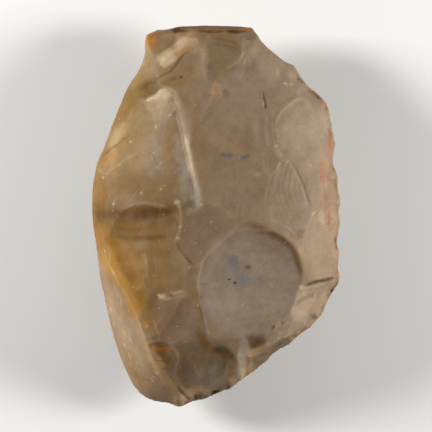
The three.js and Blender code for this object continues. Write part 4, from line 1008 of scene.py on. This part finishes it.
points, normals = readPoints(flint), readPoints(flint, "normal")
x, y, z = points.T
owner = upperSurface(x, y)[1]
upperShare = smoothStep(*paintwork["seam"], z - edgeHeight(x, y))
painted, dullness = paint(points, normals, owner, upperShare)
painted = np.concatenate([painted, np.ones((len(x), 1))], 1)
storeOnPoints(flint, "stoneColour", "FLOAT_COLOR", "color", painted)
storeOnPoints(flint, "dullness", "FLOAT", "value", dullness)
print("painted")


class Wire:
    # an output socket that takes part in sums
    def __init__(self, shop, socket):
        self.shop, self.socket = shop, socket

    def sum(self, operation, first, second):
        return self.shop.node("Math", {"operation": operation}, {0: first, 1: second})

    def __add__(self, other):
        return self.sum("ADD", self, other)

    __radd__ = __add__

    def __mul__(self, other):
        return self.sum("MULTIPLY", self, other)

    __rmul__ = __mul__

    def __sub__(self, other):
        return self.sum("SUBTRACT", self, other)

    def __rsub__(self, other):
        return self.sum("SUBTRACT", other, self)

    def __lt__(self, other):
        return self.sum("LESS_THAN", self, other)


class MaterialShop:
    # one material and the single method that adds its nodes
    def __init__(self, name):
        self.material = bpy.data.materials.new(name)
        self.material.use_nodes = True
        self.tree = self.material.node_tree
        self.shader = self.tree.nodes["Principled BSDF"]

    def link(self, wire, socket):
        self.tree.links.new(wire.socket, socket)

    def node(self, kind, settings, inputs, output=0):
        added = self.tree.nodes.new("ShaderNode" + kind)
        for key, value in settings.items():
            setattr(added, key, value)
        for key, value in inputs.items():
            if isinstance(value, Wire):
                self.link(value, added.inputs[key])
            else:
                added.inputs[key].default_value = value
        return Wire(self, added.outputs[output])


# The flint's finish. Sizes and spacings are in metres.
finish = handAxe["finish"] = {
    "roughness": 0.45, "dullRoughness": 0.3, "grainRoughness": 0.06, "shine": 0.12,
    "cloudSize": 0.004, "cloudDepth": 0.16, "cloudDetail": 4, "cloudRoughness": 0.6,
    "grainSize": 0.0005, "grainDepth": 0.16, "grainDetail": 2,
    "speckSpacing": 0.0016, "speckShare": 0.12, "speckSize": 0.16,
    "speckTone": (0.36, 0.28, 0.19, 1), "speckStrength": 0.5,
    "bumpHeight": 0.00006, "grainBump": 0.6,          # in the bump, only what is too fine for the skin
}

shop = MaterialShop("flint")
place = shop.node("TexCoord", {}, {}, "Object")
stone = shop.node("Attribute", {"attribute_name": "stoneColour"}, {}, "Color")
dull = shop.node("Attribute", {"attribute_name": "dullness"}, {}, "Fac")
clouds = shop.node("TexNoise", {}, {
    "Vector": place, "Scale": 1 / finish["cloudSize"], "Detail": finish["cloudDetail"],
    "Roughness": finish["cloudRoughness"]}, "Fac")
grain = shop.node("TexNoise", {}, {
    "Vector": place, "Scale": 1 / finish["grainSize"], "Detail": finish["grainDetail"]}, "Fac")
shade = 1 + (clouds - 0.5) * (2 * finish["cloudDepth"]) + (grain - 0.5) * (2 * finish["grainDepth"])
shaded = shop.node("VectorMath", {"operation": "SCALE"}, {0: stone, "Scale": shade}, "Vector")
speckCell = {"Vector": place, "Scale": 1 / finish["speckSpacing"]}
speckNear = shop.node("TexVoronoi", {}, speckCell, "Distance") < finish["speckSize"]
speckPick = shop.node("SeparateColor", {}, {0: shop.node("TexVoronoi", {}, speckCell, "Color")}, "Red")
specks = speckNear * (speckPick < finish["speckShare"]) * finish["speckStrength"]
coloured = shop.node("Mix", {"data_type": "RGBA"}, {"Factor": specks, 6: shaded, 7: finish["speckTone"]}, 2)
bump = shop.node("Bump", {}, {
    "Height": grain * finish["grainBump"] + clouds, "Distance": finish["bumpHeight"],
    "Strength": 1.0}, "Normal")
shop.link(coloured, shop.shader.inputs["Base Color"])
shop.link(dull * finish["dullRoughness"] + grain * finish["grainRoughness"] + finish["roughness"],
          shop.shader.inputs["Roughness"])
shop.link(bump, shop.shader.inputs["Normal"])
shop.shader.inputs["Specular IOR Level"].default_value = finish["shine"]
flint.data.materials.append(shop.material)
selectOnly(flint)
bpy.ops.object.shade_smooth()
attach(flint, "root")
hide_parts("stone")
print("flint finished:", len(flint.data.polygons) * 2, "triangles")

# Floor, camera and lights, in metres.
studio = {
    "floorSize": 6, "floorTone": (0.8, 0.79, 0.77), "floorRoughness": 0.8,
    "fill": 0.1,                      # strength of the light from all round
    "lookAt": 0.02, "viewWidth": 0.135, "lens": 180,
    "lights": [((-0.6, 0.16, 0.28), 0.16, 6.15), ((0.62, 0.02, 0.28), 0.18, 5.4)],    # place, size, power
}

bpy.ops.object.select_all(action="DESELECT")
bpy.ops.mesh.primitive_plane_add(size=studio["floorSize"], location=(0, 0, 0))
floor = bpy.context.object
floor.name = "floor"
floorShop = MaterialShop("pale floor")
floorShop.shader.inputs["Base Color"].default_value = (*studio["floorTone"], 1)
floorShop.shader.inputs["Roughness"].default_value = studio["floorRoughness"]
floor.data.materials.append(floorShop.material)

cameraData = bpy.data.cameras.new("camera")
cameraData.lens = studio["lens"]
camera = bpy.data.objects.new("camera", cameraData)
camera.location = (0, 0, studio["lookAt"] + studio["viewWidth"] * studio["lens"] / cameraData.sensor_width)
bpy.context.scene.collection.objects.link(camera)
bpy.context.scene.camera = camera

for spot, size, power in studio["lights"]:
    lampData = bpy.data.lights.new("soft box", "AREA")
    lampData.size, lampData.energy = size, power
    lamp = bpy.data.objects.new("soft box", lampData)
    lamp.location = spot
    lamp.rotation_mode = "QUATERNION"
    lamp.rotation_quaternion = (Vector((0, 0, studio["lookAt"])) - Vector(spot)).to_track_quat("-Z", "Y")
    bpy.context.scene.collection.objects.link(lamp)

world = bpy.data.worlds.new("studio")
world.use_nodes = True
background = world.node_tree.nodes["Background"]
background.inputs["Color"].default_value = (1, 1, 1, 1)
background.inputs["Strength"].default_value = studio["fill"]
bpy.context.scene.world = world
bpy.context.scene.view_settings.view_transform = "Standard"
print("studio set")
